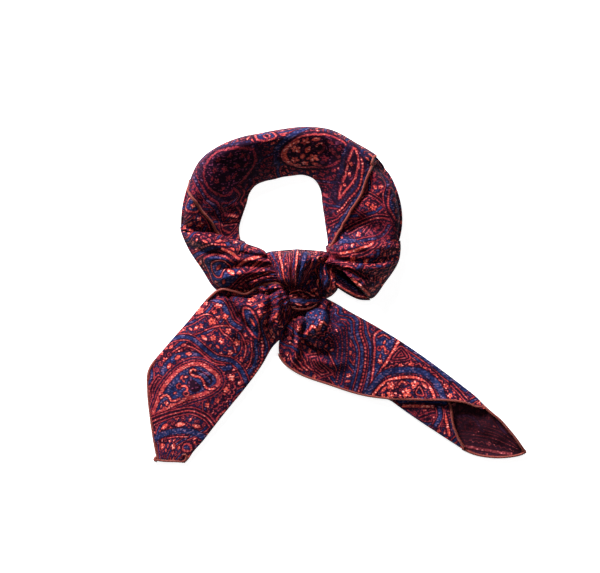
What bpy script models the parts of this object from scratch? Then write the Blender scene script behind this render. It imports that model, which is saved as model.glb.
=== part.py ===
"""A paisley neck scarf: one square of brocade folded on the bias into a band, tied in a ring and laid flat.

The ring lies open like a shallow bowl, its narrow edge on the table. The two ends cross in a gathered
knot at the front, and the tails run out from it along the table. Every stretch of the folded band that
shows is a solid of its own. Sizes are in millimetres and are turned into metres when a mesh is made.
"""

from collections import namedtuple

import bpy
import numpy as np

MM = 0.001
SEAM_GAP = 0.35
CLOTH_WALL = 1.6
FLAP_WALL = 1.4
LOWER_LEAF_WALL = 2.6
FLAP_GAP = 0.6
LEAST_WALL = 1.5
LARGEST_BULGE = 0.8
SECTIONS_PER_ROW = 2
RING_COLUMNS = 13
COLUMNS = 11
SMALL_COLUMNS = 9
TAIL_COLUMNS = 13
CREST_FULLNESS = 0.8

NECK_CENTRE = np.array([-46.5, 71.0])

# A section of the ring, from its inner edge round the neck to its outer edge, in polar places about
# the neck's centre. crown is the height of the crest, and lip that of the outer fold.
RingRow = namedtuple("RingRow", "inner_deg inner_mm outer_deg outer_mm crown lip")

RING = [
    RingRow(-38, 49.5, -14.0, 103.5, 17, 13),
    RingRow(-19, 39.5, -5.5, 104.0, 22, 15),
    RingRow(0, 35.5, 4.5, 103.0, 28, 18),
    RingRow(16, 35.5, 17.0, 100.0, 31, 20),
    RingRow(32, 38.5, 31.0, 95.0, 32, 21),
    RingRow(47, 40.0, 45.0, 88.0, 33, 22),
    RingRow(62, 37.5, 60.0, 84.0, 34, 22),
    RingRow(76, 33.5, 75.0, 78.0, 34, 22),
    RingRow(90, 31.5, 90.0, 73.5, 34, 22),
    RingRow(105, 30.5, 105.0, 72.5, 34, 22),
    RingRow(120, 32.0, 119.5, 76.0, 34, 22),
    RingRow(135, 34.0, 133.5, 81.0, 34, 22),
    RingRow(150, 34.0, 147.5, 86.0, 33, 22),
    RingRow(166, 33.0, 161.5, 86.5, 32, 21),
    RingRow(183, 35.5, 174.0, 88.0, 29, 19),
    RingRow(200, 41.0, 183.5, 89.5, 25, 16),
    RingRow(217, 45.0, 189.5, 90.0, 21, 14),
]
RING_CREST_AT = 0.74
RING_INNER_HEIGHT = 4.5
RING_CONTACT = 0.60
RING_FOLD_THICKNESS = 10.0
# The ring's three stretches, as row numbers of the table: right, back and left.
RING_PARTS = [("band_right", 0, 5), ("band_back", 5, 12), ("band_left", 12, 16)]

# The plan of the turned-in corner of the square, which lies over the ring. Its two hems run aslant across
# the ring, and the other points are past the ring's edges, behind it and over the neck.
FlapPoint = namedtuple("FlapPoint", "x y")

FLAP_LEFT_HEM = [
    FlapPoint(-97.0, 43.0),
    FlapPoint(-103.1, 54.4),
    FlapPoint(-109.2, 63.1),
    FlapPoint(-116.1, 70.9),
    FlapPoint(-128.3, 90.9),
    FlapPoint(-138.0, 107.0),
]
FLAP_RIGHT_HEM = [
    FlapPoint(34.0, 128.0),
    FlapPoint(30.0, 114.4),
    FlapPoint(25.7, 99.6),
    FlapPoint(22.2, 89.2),
    FlapPoint(13.5, 73.5),
    FlapPoint(5.7, 60.5),
    FlapPoint(-1.3, 47.4),
    FlapPoint(-8.0, 38.0),
]
FLAP_BEHIND = [FlapPoint(-138.0, 170.0), FlapPoint(34.0, 170.0)]
FLAP_OVER_NECK = [FlapPoint(-46.5, 60.0), FlapPoint(-82.0, 38.0)]
FLAP_CUTTER_TOP = 60

# A section of any other stretch, from edge a to edge b in plan, with the height of each edge, the
# rise of the cloth between them, and the share of the width at which it is highest.
Row = namedtuple("Row", "ax ay bx by az bz rise crest")

FRONT_LEFT = [
    Row(-81.5, 43.5, -135.0, 55.5, 7, 12, 15, 0.45),
    Row(-76.0, 41.5, -129.5, 38.5, 8, 10, 17, 0.45),
    Row(-70.0, 39.5, -119.5, 23.0, 9, 8, 18, 0.45),
    Row(-65.5, 37.0, -108.0, 6.0, 10, 7, 17, 0.45),
    Row(-62.5, 34.5, -93.5, 6.0, 11, 8, 15, 0.45),
    Row(-60.5, 31.0, -78.5, 5.5, 12, 9, 12, 0.45),
    Row(-58.5, 27.0, -66.5, 13.0, 13, 10, 10, 0.45),
    Row(-56.5, 23.0, -58.5, 14.0, 13, 11, 8, 0.45),
]

FRONT_RIGHT = [
    Row(-7.2, 40.0, 53.6, 45.4, 8, 11, 16, 0.40),
    Row(-6.8, 38.0, 53.0, 32.0, 9, 10, 18, 0.45),
    Row(-7.0, 36.0, 46.5, 15.0, 10, 9, 20, 0.50),
    Row(-7.2, 34.5, 32.0, -1.5, 11, 9, 21, 0.55),
    Row(-7.8, 33.0, 13.5, 18.5, 12, 13, 15, 0.55),
    Row(-8.6, 31.5, 2.0, 22.5, 13, 13, 11, 0.50),
    Row(-9.2, 29.5, -6.5, 24.0, 13, 13, 8, 0.50),
]

LOWER_LIP = [
    Row(29.5, -2.5, 30.5, -4.5, 3, 4, 2, 0.70),
    Row(21.5, 7.0, 21.5, -4.0, 3, 5, 5, 0.70),
    Row(11.5, 15.6, 11.5, -2.0, 3, 5, 6, 0.70),
    Row(2.0, 19.0, 1.5, 4.0, 5, 6, 7, 0.65),
    Row(-3.4, 18.6, -2.0, 9.5, 8, 7, 7, 0.55),
]

KNOT_NECK = [
    Row(-20.2, 20.5, -6.0, 22.6, 12, 12, 6, 0.50),
    Row(-21.4, 15.0, -5.5, 16.0, 12, 10, 8, 0.50),
    Row(-22.7, 8.5, -4.5, 8.0, 12, 8, 9, 0.50),
    Row(-20.5, 5.0, -4.5, 2.5, 10, 6, 8, 0.50),
    Row(-14.0, -0.5, -7.0, -0.5, 7, 5, 5, 0.50),
]

KNOT_WRAP = [
    Row(-59.5, 37.5, -9.5, 37.5, 4, 4, 4, 0.50),
    Row(-59.5, 35.5, -9.0, 35.5, 12, 12, 14, 0.50),
    Row(-56.5, 28.0, -13.0, 28.0, 14, 14, 22, 0.50),
    Row(-53.0, 20.0, -22.5, 21.5, 15, 15, 22, 0.50),
    Row(-50.5, 13.0, -24.0, 14.0, 15, 14, 18, 0.50),
    Row(-47.5, 7.5, -25.0, 7.5, 13, 13, 11, 0.50),
]
PLEATS = 7
PLEAT_DEPTH = 1.7
# Pleats fade where the wrap is lower than this, and towards its two side edges.
FULL_PLEAT_HEIGHT = 20
POINTS_PER_PLEAT = 4

KNOT_ROLL = [
    Row(-46.2, 5.5, -38.2, -10.4, 9, 7, 9, 0.45),
    Row(-39.5, 5.8, -32.5, -11.0, 11, 8, 11, 0.45),
    Row(-33.0, 5.3, -28.0, -11.0, 12, 8, 11, 0.45),
    Row(-26.0, 4.3, -22.0, -8.5, 10, 7, 9, 0.45),
    Row(-23.0, 2.0, -17.5, -4.0, 8, 6, 6, 0.45),
]

LEFT_TAIL = [
    Row(-46.8, 5.0, -39.0, -12.0, 13, 9, 8, 0.50),
    Row(-56.0, 9.8, -40.5, -19.5, 12, 8, 13, 0.55),
    Row(-67.5, 7.0, -43.5, -28.5, 14, 7, 14, 0.60),
    Row(-81.0, -2.5, -46.5, -34.5, 13, 7, 13, 0.65),
    Row(-98.0, 1.0, -50.5, -38.5, 12, 7, 11, 0.55),
    Row(-114.5, -4.5, -56.5, -45.0, 9, 6, 9, 0.45),
    Row(-131.0, -24.0, -66.5, -62.5, 6, 5, 7, 0.45),
    Row(-148.5, -45.0, -81.5, -82.0, 5, 5, 5, 0.45),
    Row(-164.5, -65.5, -97.5, -101.5, 4, 5, 4, 0.45),
    Row(-165.0, -87.5, -108.5, -115.5, 4, 4, 3, 0.50),
    Row(-163.0, -109.0, -117.0, -126.5, 4, 4, 2, 0.50),
    Row(-160.5, -128.5, -125.0, -135.5, 4, 4, 1, 0.50),
    Row(-156.5, -143.0, -131.5, -144.5, 3, 3, 0.5, 0.50),
]

# Edge a is the hem of the leaf, edge b the fold that joins it to the leaf below.
RIGHT_TAIL_TOP = [
    Row(-37.0, -14.5, -14.5, -8.5, 9, 9, 9, 0.50),
    Row(-42.2, -30.0, -0.5, -8.5, 7, 8, 14, 0.50),
    Row(-48.6, -42.0, 11.5, -15.5, 5, 7, 14, 0.55),
    Row(-45.5, -56.0, 25.0, -23.0, 3.8, 6.5, 11, 0.60),
    Row(-31.0, -67.5, 40.5, -32.0, 3.7, 6, 8, 0.60),
    Row(-5.5, -79.5, 57.0, -42.0, 3.7, 4.9, 6, 0.60),
    Row(20.5, -88.0, 77.0, -55.0, 5.2, 4.9, 5, 0.55),
    Row(46.5, -91.5, 96.0, -69.0, 8, 4.8, 4, 0.45),
    Row(72.5, -91.0, 111.0, -80.5, 11, 4.9, 2, 0.35),
    Row(98.5, -92.0, 121.5, -89.0, 12, 6.5, 1, 0.35),
    Row(115.5, -94.5, 127.5, -95.0, 10, 7.5, 0.5, 0.40),
    Row(125.5, -99.5, 131.0, -98.5, 8.5, 8, 0.2, 0.50),
]

RIGHT_TAIL_UNDER = [
    Row(-40.5, -31.0, -3.5, -11.5, 1.8, 2.5, 0, 0.50),
    Row(-46.0, -54.5, 20.5, -22.5, 1.8, 2.8, 0, 0.50),
    Row(-5.3, -78.3, 54.5, -43.0, 1.8, 2.9, 0, 0.50),
    Row(47.0, -93.0, 92.5, -69.5, 1.8, 2.5, 0, 0.50),
    Row(72.0, -110.5, 110.5, -82.5, 1.8, 2.5, 0, 0.50),
    Row(86.5, -119.5, 119.5, -90.5, 1.8, 3.0, 0, 0.50),
    Row(100.5, -128.5, 127.0, -98.0, 1.8, 4.5, -0.5, 0.50),
    Row(111.0, -135.0, 134.5, -103.5, 2.2, 7.0, -2, 0.50),
    Row(122.0, -139.5, 142.5, -109.5, 2.5, 7.5, -2.5, 0.50),
    Row(135.5, -141.5, 148.5, -116.5, 2.6, 7.0, -2.5, 0.50),
    Row(147.5, -141.5, 155.0, -124.5, 2.6, 6.0, -2, 0.50),
    Row(157.5, -140.0, 161.0, -133.0, 2.6, 4.5, -1, 0.50),
    Row(163.0, -138.0, 163.8, -136.0, 2.6, 3.2, 0, 0.50),
]

# The corner's lower side turned back over the leaf below, from its fold to its hem.
RIGHT_TAIL_TURN = [
    Row(49.0, -92.5, 52.5, -86.0, 3.6, 3.8, 0.4, 0.50),
    Row(60.0, -101.0, 73.0, -84.5, 3.6, 4.2, 0.8, 0.50),
    Row(73.5, -110.5, 90.0, -85.5, 3.6, 4.6, 1.2, 0.50),
    Row(87.5, -119.0, 98.0, -95.5, 3.6, 4.8, 1.2, 0.50),
    Row(98.0, -126.0, 100.5, -113.0, 3.6, 4.8, 0.8, 0.50),
    Row(105.5, -130.5, 104.5, -124.5, 3.7, 4.5, 0.3, 0.50),
    Row(110.0, -133.5, 109.5, -131.5, 3.8, 4.2, 0, 0.50),
]

# A trough, or a ridge where depth is above zero, along a straight line in plan.
Fold = namedtuple("Fold", "x1 y1 x2 y2 width depth")

RING_FOLDS = [
    Fold(-133, 59, -107, 52, 4.0, -7.0),
    Fold(26, 52, 50, 50, 7.0, -6.0),
    Fold(-10, 139, -2, 118, 6.0, -3.0),
    Fold(-128, 96, -118, 78, 6.0, -3.0),
    Fold(22, 118, 34, 92, 6.0, -3.0),
]
FRONT_LEFT_FOLDS = [
    Fold(-100, 24, -62, 24, 3.0, -4.0),
    Fold(-78, 37, -60, 31, 3.0, -4.0),
    Fold(-110, 40, -76, 32, 5.0, 2.0),
    Fold(-88, 14, -62, 20, 2.6, -3.5),
]
FRONT_RIGHT_FOLDS = [
    Fold(40, 30, -4, 30, 4.0, -3.0),
    Fold(30, 36, -4, 34, 4.0, 2.5),
    Fold(34, 14, 0, 26, 3.5, 2.5),
]
LEFT_TAIL_FOLDS = [
    Fold(-92, 3, -78, -22, 3.5, -6.0),
    Fold(-62, 6, -50, -26, 3.5, -3.5),
    Fold(-106, -10, -84, -48, 6.0, 2.0),
    Fold(-132, -64, -100, -62, 8.0, 1.2),
]
RIGHT_TAIL_FOLDS = [
    Fold(-30, -20, -27, -44, 3.5, -6.0),
    Fold(-24, -42, -8, -48, 4.0, -7.0),
    Fold(-17, -20, -10, -34, 5.5, 4.0),
    Fold(-10, -14, 2, -26, 3.5, -5.0),
    Fold(-38, -40, -14, -64, 5.0, 2.5),
    Fold(6, -30, 44, -56, 7.0, 2.0),
]

# How an edge is rounded: how far a point stands out, as a share of the edge's thickness, and where it
# lies between the top (1) and the bottom (0). The ring's edge has the crease between two folded layers.
PLAIN_EDGE = [(0.22, 0.5)]
LAYERED_EDGE = [(0.20, 0.84), (0.16, 0.64), (-0.10, 0.5), (0.16, 0.36), (0.16, 0.16)]

NAVY = (0.030, 0.035, 0.130)
RED = (0.420, 0.070, 0.045)


def resample(rows, count):
    """Rows of numbers read at evenly spaced places along a smooth curve through them."""
    rows = np.array(rows, float)
    place = np.linspace(0, len(rows) - 1, count)
    first = np.clip(place.astype(int), 0, len(rows) - 2)
    t = (place - first)[:, None]
    before, start = rows[np.maximum(first - 1, 0)], rows[first]
    end, after = rows[first + 1], rows[np.minimum(first + 2, len(rows) - 1)]
    return (
        start
        + 0.5 * t * (end - before)
        + t**2 * (before - 2.5 * start + 2 * end - 0.5 * after)
        + t**3 * (1.5 * (start - end) + 0.5 * (after - before))
    )


def shares_across(count):
    """Places across a section, from 0 to 1, closer together near its two edges."""
    return 0.5 - 0.5 * np.cos(np.linspace(0, np.pi, count))


def profile(share, edge_a, edge_b, rise, crest):
    """Height across a section: a straight line between its edges, with a soft rise that peaks at crest."""
    skew = np.log(0.5) / np.log(crest)
    hump = np.clip(np.sin(np.pi * share**skew), 0, None) ** CREST_FULLNESS
    return edge_a + (edge_b - edge_a) * share + rise * hump


def folded(plan, height, folds, floor):
    """Heights with each fold's soft trough or ridge added, and never less than the floor."""
    for fold in folds:
        start = np.array([fold.x1, fold.y1])
        run = np.array([fold.x2, fold.y2]) - start
        along = np.clip(((plan - start) @ run) / (run @ run), 0, 1)
        away = np.linalg.norm(plan - start - along[..., None] * run, axis=-1)
        height = height + fold.depth * np.exp(-((away / fold.width) ** 2))
    return np.maximum(height, floor)


def plan_grid(edge_a, edge_b, share):
    """Plan places on straight sections from each point of one edge to the same point of the other."""
    return edge_a[:, None] + (edge_b - edge_a)[:, None] * share[None, :, None]


def edge_points(plan, neighbour, top, bottom, form):
    """The points that round one edge of a section, from its top to its bottom."""
    outward = plan - neighbour
    outward = outward / np.linalg.norm(outward, axis=1)[:, None]
    thickness = (top - bottom)[:, None]
    columns = []
    for stands_out, level in form:
        place = plan + outward * np.minimum(stands_out * thickness, LARGEST_BULGE)
        columns.append(np.column_stack([place, bottom + level * (top - bottom)]))
    return columns


def section_loops(plan, top, bottom, form_a=PLAIN_EDGE, form_b=PLAIN_EDGE):
    """Closed loops of points round each section: over the top, round edge b, back below, round edge a."""
    over = [np.column_stack([plan[:, j], top[:, j]]) for j in range(plan.shape[1])]
    under = [np.column_stack([plan[:, j], bottom[:, j]]) for j in range(plan.shape[1])]
    side_b = edge_points(plan[:, -1], plan[:, -2], top[:, -1], bottom[:, -1], form_b)
    side_a = edge_points(plan[:, 0], plan[:, 1], top[:, 0], bottom[:, 0], form_a)
    return np.stack(over + side_b + under[::-1] + side_a[::-1], axis=1)


def make_material(name, colour):
    material = bpy.data.materials.new(name)
    material.use_nodes = True
    shader = material.node_tree.nodes["Principled BSDF"]
    shader.inputs["Base Color"].default_value = (*colour, 1.0)
    shader.inputs["Roughness"].default_value = 0.5
    shader.inputs["Metallic"].default_value = 0.0
    return material


def make_solid(name, loops, colour):
    """Skins the loops into one closed solid, with a flat cap on the first and the last.

    Each four points are split along their shorter diagonal, so that a wall that lies over another
    piece has the same creases as that piece.
    """
    sections, points = loops.shape[:2]
    vertices = loops.reshape(-1, 3)
    corner = np.arange(sections * points).reshape(sections, points)
    following = np.roll(corner, -1, axis=1)
    a, b, c, d = (run.ravel() for run in (corner[:-1], following[:-1], following[1:], corner[1:]))
    ac = np.linalg.norm(vertices[a] - vertices[c], axis=1)
    bd = np.linalg.norm(vertices[b] - vertices[d], axis=1)
    first = np.where(ac < bd, [a, b, c], [a, b, d])
    second = np.where(ac < bd, [a, c, d], [b, c, d])
    faces = np.hstack([first, second]).T.tolist()
    faces.append(corner[0][::-1].tolist())
    faces.append(corner[-1].tolist())
    if enclosed_volume(vertices, faces) < 0:
        faces = [face[::-1] for face in faces]
    mesh = bpy.data.meshes.new(name)
    mesh.from_pydata(vertices * MM, [], faces)
    mesh.shade_smooth()
    mesh.materials.append(make_material(name, colour))
    made = bpy.data.objects.new(name, mesh)
    bpy.context.scene.collection.objects.link(made)
    return made


def enclosed_volume(vertices, faces):
    """Six times the volume inside the faces, below zero where they point inwards."""
    total = 0.0
    for face in faces:
        first = vertices[face[0]]
        for second, third in zip(face[1:-1], face[2:]):
            total += first @ np.cross(vertices[second], vertices[third])
    return total


def polar(degrees, radius):
    angle = np.radians(degrees)
    return NECK_CENTRE + np.column_stack([np.cos(angle), np.sin(angle)]) * radius[:, None]


def ring_grid(first, last, share):
    """The ring's plan places, top heights and lip heights between two rows of its table."""
    fine = resample(RING, (len(RING) - 1) * SECTIONS_PER_ROW + 1)
    fine = fine[first * SECTIONS_PER_ROW : last * SECTIONS_PER_ROW + 1]
    inner_deg, inner_mm, outer_deg, outer_mm, crown, lip = fine.T
    plan = plan_grid(polar(inner_deg, inner_mm), polar(outer_deg, outer_mm), share)
    straight = RING_INNER_HEIGHT + (lip - RING_INNER_HEIGHT) * RING_CREST_AT
    top = profile(
        share[None, :],
        RING_INNER_HEIGHT,
        lip[:, None],
        (crown - straight)[:, None],
        RING_CREST_AT,
    )
    return plan, folded(plan, top, RING_FOLDS, LEAST_WALL), lip


def ring_underside(share, lip):
    """Flat on the table near the neck, then rising to leave the outer fold free."""
    reach = np.clip((share - RING_CONTACT) / (1 - RING_CONTACT), 0, 1)
    return (lip - RING_FOLD_THICKNESS)[:, None] * (reach**2)[None, :]


def make_ring():
    """The folded band round the neck, in the three stretches that lie behind and beside the knot."""
    share = shares_across(RING_COLUMNS)
    for name, first, last in RING_PARTS:
        plan, top, lip = ring_grid(first, last, share)
        bottom = ring_underside(share, lip)
        loops = section_loops(plan, top, bottom, form_b=LAYERED_EDGE)
        make_solid(name, parted(loops, first > 0, last < len(RING) - 1), NAVY)


def parted(loops, at_start, at_end):
    """Draws an end that meets the next stretch back by half a seam gap."""
    loops = loops.copy()
    if at_start:
        step = loops[1] - loops[0]
        loops[0] += step * (SEAM_GAP / 2 / np.linalg.norm(step, axis=1).min())
    if at_end:
        step = loops[-2] - loops[-1]
        loops[-1] += step * (SEAM_GAP / 2 / np.linalg.norm(step, axis=1).min())
    return loops


def make_flap():
    """The turned-in corner of the square: a wall just over the ring's own points, cut to its hems."""
    plan, top, _ = ring_grid(0, len(RING) - 1, shares_across(RING_COLUMNS))
    plan, under = plan[:, 1:-1], top[:, 1:-1] + FLAP_GAP
    flap = make_solid("neck_flap", section_loops(plan, under + FLAP_WALL, under), RED)
    outline = FLAP_LEFT_HEM + FLAP_BEHIND + FLAP_RIGHT_HEM + FLAP_OVER_NECK
    levels = (0, FLAP_CUTTER_TOP)
    loops = np.array([[(point.x, point.y, level) for point in outline] for level in levels], float)
    cutter = make_solid("flap_cutter", loops, RED)
    cutter.hide_render = True
    cutter.display_type = "WIRE"
    cut = flap.modifiers.new("hems", "BOOLEAN")
    cut.operation = "INTERSECT"
    cut.solver = "EXACT"
    cut.object = cutter


def make_stretch(name, rows, folds, colour, wall=None, across=COLUMNS):
    """A stretch whose top follows its rows: filled down to the ground, or a wall of even thickness."""
    fine = resample(rows, (len(rows) - 1) * SECTIONS_PER_ROW + 1)
    ax, ay, bx, by, az, bz, rise, crest = (fine[:, [i]] for i in range(8))
    share = shares_across(across)
    plan = plan_grid(np.hstack([ax, ay]), np.hstack([bx, by]), share)
    top = profile(share[None, :], az, bz, rise, crest)
    top = folded(plan, top, folds, LEAST_WALL)
    bottom = np.zeros_like(top) if wall is None else np.maximum(top - wall, 0)
    return make_solid(name, section_loops(plan, top, bottom), colour)


def make_knot_wrap():
    """The end that passes over the knot, gathered into pleats that draw together below."""
    fine = resample(KNOT_WRAP, (len(KNOT_WRAP) - 1) * SECTIONS_PER_ROW + 1)
    ax, ay, bx, by, az, bz, rise, crest = (fine[:, [i]] for i in range(8))
    share = np.linspace(0, 1, PLEATS * POINTS_PER_PLEAT + 1)
    plan = plan_grid(np.hstack([ax, ay]), np.hstack([bx, by]), share)
    top = profile(share[None, :], az, bz, rise, crest)
    pleats = PLEAT_DEPTH * np.cos(2 * np.pi * PLEATS * share) * np.sin(np.pi * share) ** 0.5
    top = top - np.minimum(1, top / FULL_PLEAT_HEIGHT) * pleats[None, :]
    make_solid("knot_wrap", section_loops(plan, top, np.zeros_like(top)), RED)


def centre_on_origin():
    """Moves every mesh so that the scarf's box is centred over the origin."""
    pieces = [o for o in bpy.data.objects if not o.hide_render]
    corners = np.array([v.co for o in pieces for v in o.data.vertices], float)
    low, high = corners.min(axis=0), corners.max(axis=0)
    shift = (-(low[0] + high[0]) / 2, -(low[1] + high[1]) / 2, -low[2])
    for made in bpy.data.objects:
        for vertex in made.data.vertices:
            vertex.co.x += shift[0]
            vertex.co.y += shift[1]
            vertex.co.z += shift[2]
    print("moved by, in mm:", [round(s / MM, 3) for s in shift])


def main():
    for leftover in list(bpy.data.objects):
        bpy.data.objects.remove(leftover, do_unlink=True)
    make_ring()
    make_flap()
    make_stretch("band_front_left", FRONT_LEFT, FRONT_LEFT_FOLDS, RED)
    make_stretch("band_front_right", FRONT_RIGHT, FRONT_RIGHT_FOLDS, RED)
    make_stretch("band_lower_lip", LOWER_LIP, [], NAVY, across=SMALL_COLUMNS)
    make_knot_wrap()
    make_stretch("knot_neck", KNOT_NECK, [], NAVY, across=SMALL_COLUMNS)
    make_stretch("knot_roll", KNOT_ROLL, [], NAVY, across=SMALL_COLUMNS)
    make_stretch("left_tail", LEFT_TAIL, LEFT_TAIL_FOLDS, RED, across=TAIL_COLUMNS)
    make_stretch("right_tail_top", RIGHT_TAIL_TOP, RIGHT_TAIL_FOLDS, RED, CLOTH_WALL, TAIL_COLUMNS)
    make_stretch("right_tail_under", RIGHT_TAIL_UNDER, [], NAVY, wall=LOWER_LEAF_WALL)
    make_stretch("right_tail_turn", RIGHT_TAIL_TURN, [], RED, wall=FLAP_WALL, across=SMALL_COLUMNS)
    centre_on_origin()


main()
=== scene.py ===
# %% [markdown]
# # A paisley neck scarf, laid flat
# The real object is one square of brocade, folded on the bias into a band, tied in a ring and put down on
# a table. The frame holds a plain solid for each stretch of the band. This script dresses those solids:
# thin folded cloth with its creases, the woven paisley, and the stitched hem.

# %% The frame
import math
from collections import namedtuple
from functools import partial

import bpy
import numpy as np
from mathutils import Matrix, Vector


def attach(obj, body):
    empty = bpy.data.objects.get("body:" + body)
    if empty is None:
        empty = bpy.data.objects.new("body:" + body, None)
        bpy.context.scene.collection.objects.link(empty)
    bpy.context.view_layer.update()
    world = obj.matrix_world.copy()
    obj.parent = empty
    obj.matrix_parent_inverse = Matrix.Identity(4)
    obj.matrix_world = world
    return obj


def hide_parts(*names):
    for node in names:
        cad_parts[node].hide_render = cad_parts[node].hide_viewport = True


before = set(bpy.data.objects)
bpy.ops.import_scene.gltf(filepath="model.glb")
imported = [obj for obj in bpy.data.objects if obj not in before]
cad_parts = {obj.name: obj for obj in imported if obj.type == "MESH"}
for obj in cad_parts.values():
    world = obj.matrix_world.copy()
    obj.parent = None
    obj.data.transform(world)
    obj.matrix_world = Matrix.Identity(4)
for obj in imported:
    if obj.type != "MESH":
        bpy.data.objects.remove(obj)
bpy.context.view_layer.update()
print("solids:", sorted(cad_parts))

# %% [markdown]
# Everything below is measured in millimetres on the table, with the middle of the knot near zero. The frame
# has its origin in the middle of the scarf's box, so one small move takes the first to the second.

# %% Units and places
MM = 0.001
TO_FRAME = np.array([1.286, -1.286, 0.0])
NECK_CENTRE = np.array([-46.5, 71.0])
STEP = 0.62

# %% [markdown]
# ## The view
# The camera looks straight down from far above through a very long lens, so that the ring's raised rim and
# the flat tails keep the same scale.

# %% Camera
FRAME_WIDTH = 522.0
FRAME_MIDDLE = (-31.8, 7.0)
LENS = 420.0
SENSOR = 36.0

camera_data = bpy.data.cameras.new("camera")
camera_data.lens = LENS
camera_data.sensor_width = SENSOR
camera = bpy.data.objects.new("camera", camera_data)
bpy.context.scene.collection.objects.link(camera)
camera.location = (
    (FRAME_MIDDLE[0] + TO_FRAME[0]) * MM,
    (FRAME_MIDDLE[1] + TO_FRAME[1]) * MM,
    FRAME_WIDTH * LENS / SENSOR * MM,
)
bpy.context.scene.camera = camera
print("camera height, in metres:", round(camera.location.z, 3))

# %% [markdown]
# One broad light stands beyond the back of the ring, so that the slopes which face the tails fall into
# shade, as they do in a softly lit studio picture. A weaker one opposite opens the shadows a little, and the
# table glows faintly, like a light table, so that it stays white under the cloth.

# %% Floor and lights
FLOOR_SIZE = 6.0
FLOOR_DROP = 0.0003
FLOOR_WHITE = (0.50, 0.50, 0.50)
FLOOR_GLOW = 0.84
WORLD_STRENGTH = 0.06
WHITE = (1, 1, 1, 1)
Light = namedtuple("Light", "name place size power")
LIGHTS = [
    Light("key", (-0.85, 1.50, 0.98), (0.9, 0.5), 172.0),
    Light("fill", (0.4, 0.1, 1.7), (0.9, 0.9), 8.0),
]


def plain_material(name, colour, roughness):
    material = bpy.data.materials.new(name)
    material.use_nodes = True
    shader = material.node_tree.nodes["Principled BSDF"]
    shader.inputs["Base Color"].default_value = (*colour, 1.0)
    shader.inputs["Roughness"].default_value = roughness
    return material


def add_floor(size):
    mesh = bpy.data.meshes.new("floor")
    half = size / 2
    corners = [(-half, -half, 0), (half, -half, 0), (half, half, 0), (-half, half, 0)]
    mesh.from_pydata(corners, [], [(0, 1, 2, 3)])
    white = plain_material("floor_white", FLOOR_WHITE, 0.9)
    shader = white.node_tree.nodes["Principled BSDF"]
    shader.inputs["Emission Color"].default_value = WHITE
    shader.inputs["Emission Strength"].default_value = FLOOR_GLOW
    mesh.materials.append(white)
    floor = bpy.data.objects.new("floor", mesh)
    floor.location.z = -FLOOR_DROP
    bpy.context.scene.collection.objects.link(floor)


def add_light(name, place, size, power):
    data = bpy.data.lights.new(name, "AREA")
    data.shape = "RECTANGLE"
    data.size, data.size_y = size
    data.energy = power
    lamp = bpy.data.objects.new(name, data)
    lamp.location = place
    lamp.rotation_euler = (-Vector(place)).to_track_quat("-Z", "Y").to_euler()
    bpy.context.scene.collection.objects.link(lamp)


add_floor(FLOOR_SIZE)
for light in LIGHTS:
    add_light(*light)
world = bpy.data.worlds.new("studio")
world.use_nodes = True
world.node_tree.nodes["Background"].inputs["Color"].default_value = WHITE
world.node_tree.nodes["Background"].inputs["Strength"].default_value = WORLD_STRENGTH
bpy.context.scene.world = world
bpy.context.scene.view_settings.view_transform = "Standard"

# %% [markdown]
# ## Folded cloth as a loft
# Each stretch of the band is described by a short table, one row for each section across it. A smooth curve
# through the rows gives as many sections as the cloth needs, and each section becomes a closed loop: over
# the top, round one edge, back below and round the other edge.

# %% Curves through rows
def along(rows, places):
    """Rows of numbers read at places along a smooth curve through them, place 1 being the second row."""
    rows = np.array(rows, float)
    first = np.clip(places.astype(int), 0, len(rows) - 2)
    t = (places - first)[:, None]
    before, start = rows[np.maximum(first - 1, 0)], rows[first]
    end, after = rows[first + 1], rows[np.minimum(first + 2, len(rows) - 1)]
    return (
        start
        + 0.5 * t * (end - before)
        + t**2 * (before - 2.5 * start + 2 * end - 0.5 * after)
        + t**3 * (1.5 * (start - end) + 0.5 * (after - before))
    )


def run_lengths(points):
    """The length along a line of points, up to each of them."""
    steps = np.linalg.norm(np.diff(points, axis=0), axis=1)
    return np.concatenate([[0], np.cumsum(steps)])


def across_lengths(sections, zero):
    """The length across each section up to each of its points, counted from the column zero."""
    steps = np.linalg.norm(np.diff(sections, axis=1), axis=2)
    arc = np.concatenate([np.zeros((len(sections), 1)), np.cumsum(steps, axis=1)], axis=1)
    return arc - arc[:, zero : zero + 1]


def even_rows(rows, edges_of, step):
    """The rows of a table read so that the longer of the stretch's two edges has steps of even length."""
    places = np.linspace(0, len(rows) - 1, 40 * len(rows))
    fine = along(rows, places)
    edge_a, edge_b = edges_of(fine)
    lengths = max(run_lengths(edge_a), run_lengths(edge_b), key=lambda run: run[-1])
    count = int(lengths[-1] / step) + 2
    return along(rows, np.interp(np.linspace(0, lengths[-1], count), lengths, places))


# %% [markdown]
# A fold is a soft ridge, or a trough where its depth is below zero. It runs along a bowed line in plan and
# fades out at both ends, because cloth never creases evenly.

# %% Folds
Fold = namedtuple("Fold", "x1 y1 x2 y2 bow width depth")
FADE_START, FADE_SPAN = 0.07, 0.86


def fold_relief(plan, folds):
    """How much a list of folds lifts or sinks the cloth at each place in plan."""
    lift = np.zeros(plan.shape[:-1])
    for fold in folds:
        start = np.array([fold.x1, fold.y1])
        run = np.array([fold.x2, fold.y2]) - start
        length = np.linalg.norm(run)
        forward = run / length
        sideways = np.array([-forward[1], forward[0]])
        t = (plan - start) @ forward / length
        inside = np.clip(t, 0, 1)
        off = (plan - start) @ sideways - fold.bow * 4 * inside * (1 - inside)
        beyond = (t - inside) * length
        fade = np.sin(np.pi * np.clip(inside * FADE_SPAN + FADE_START, 0, 1)) ** 0.6
        lift += fold.depth * fade * np.exp(-(off**2 + beyond**2) / fold.width**2)
    return lift


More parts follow.
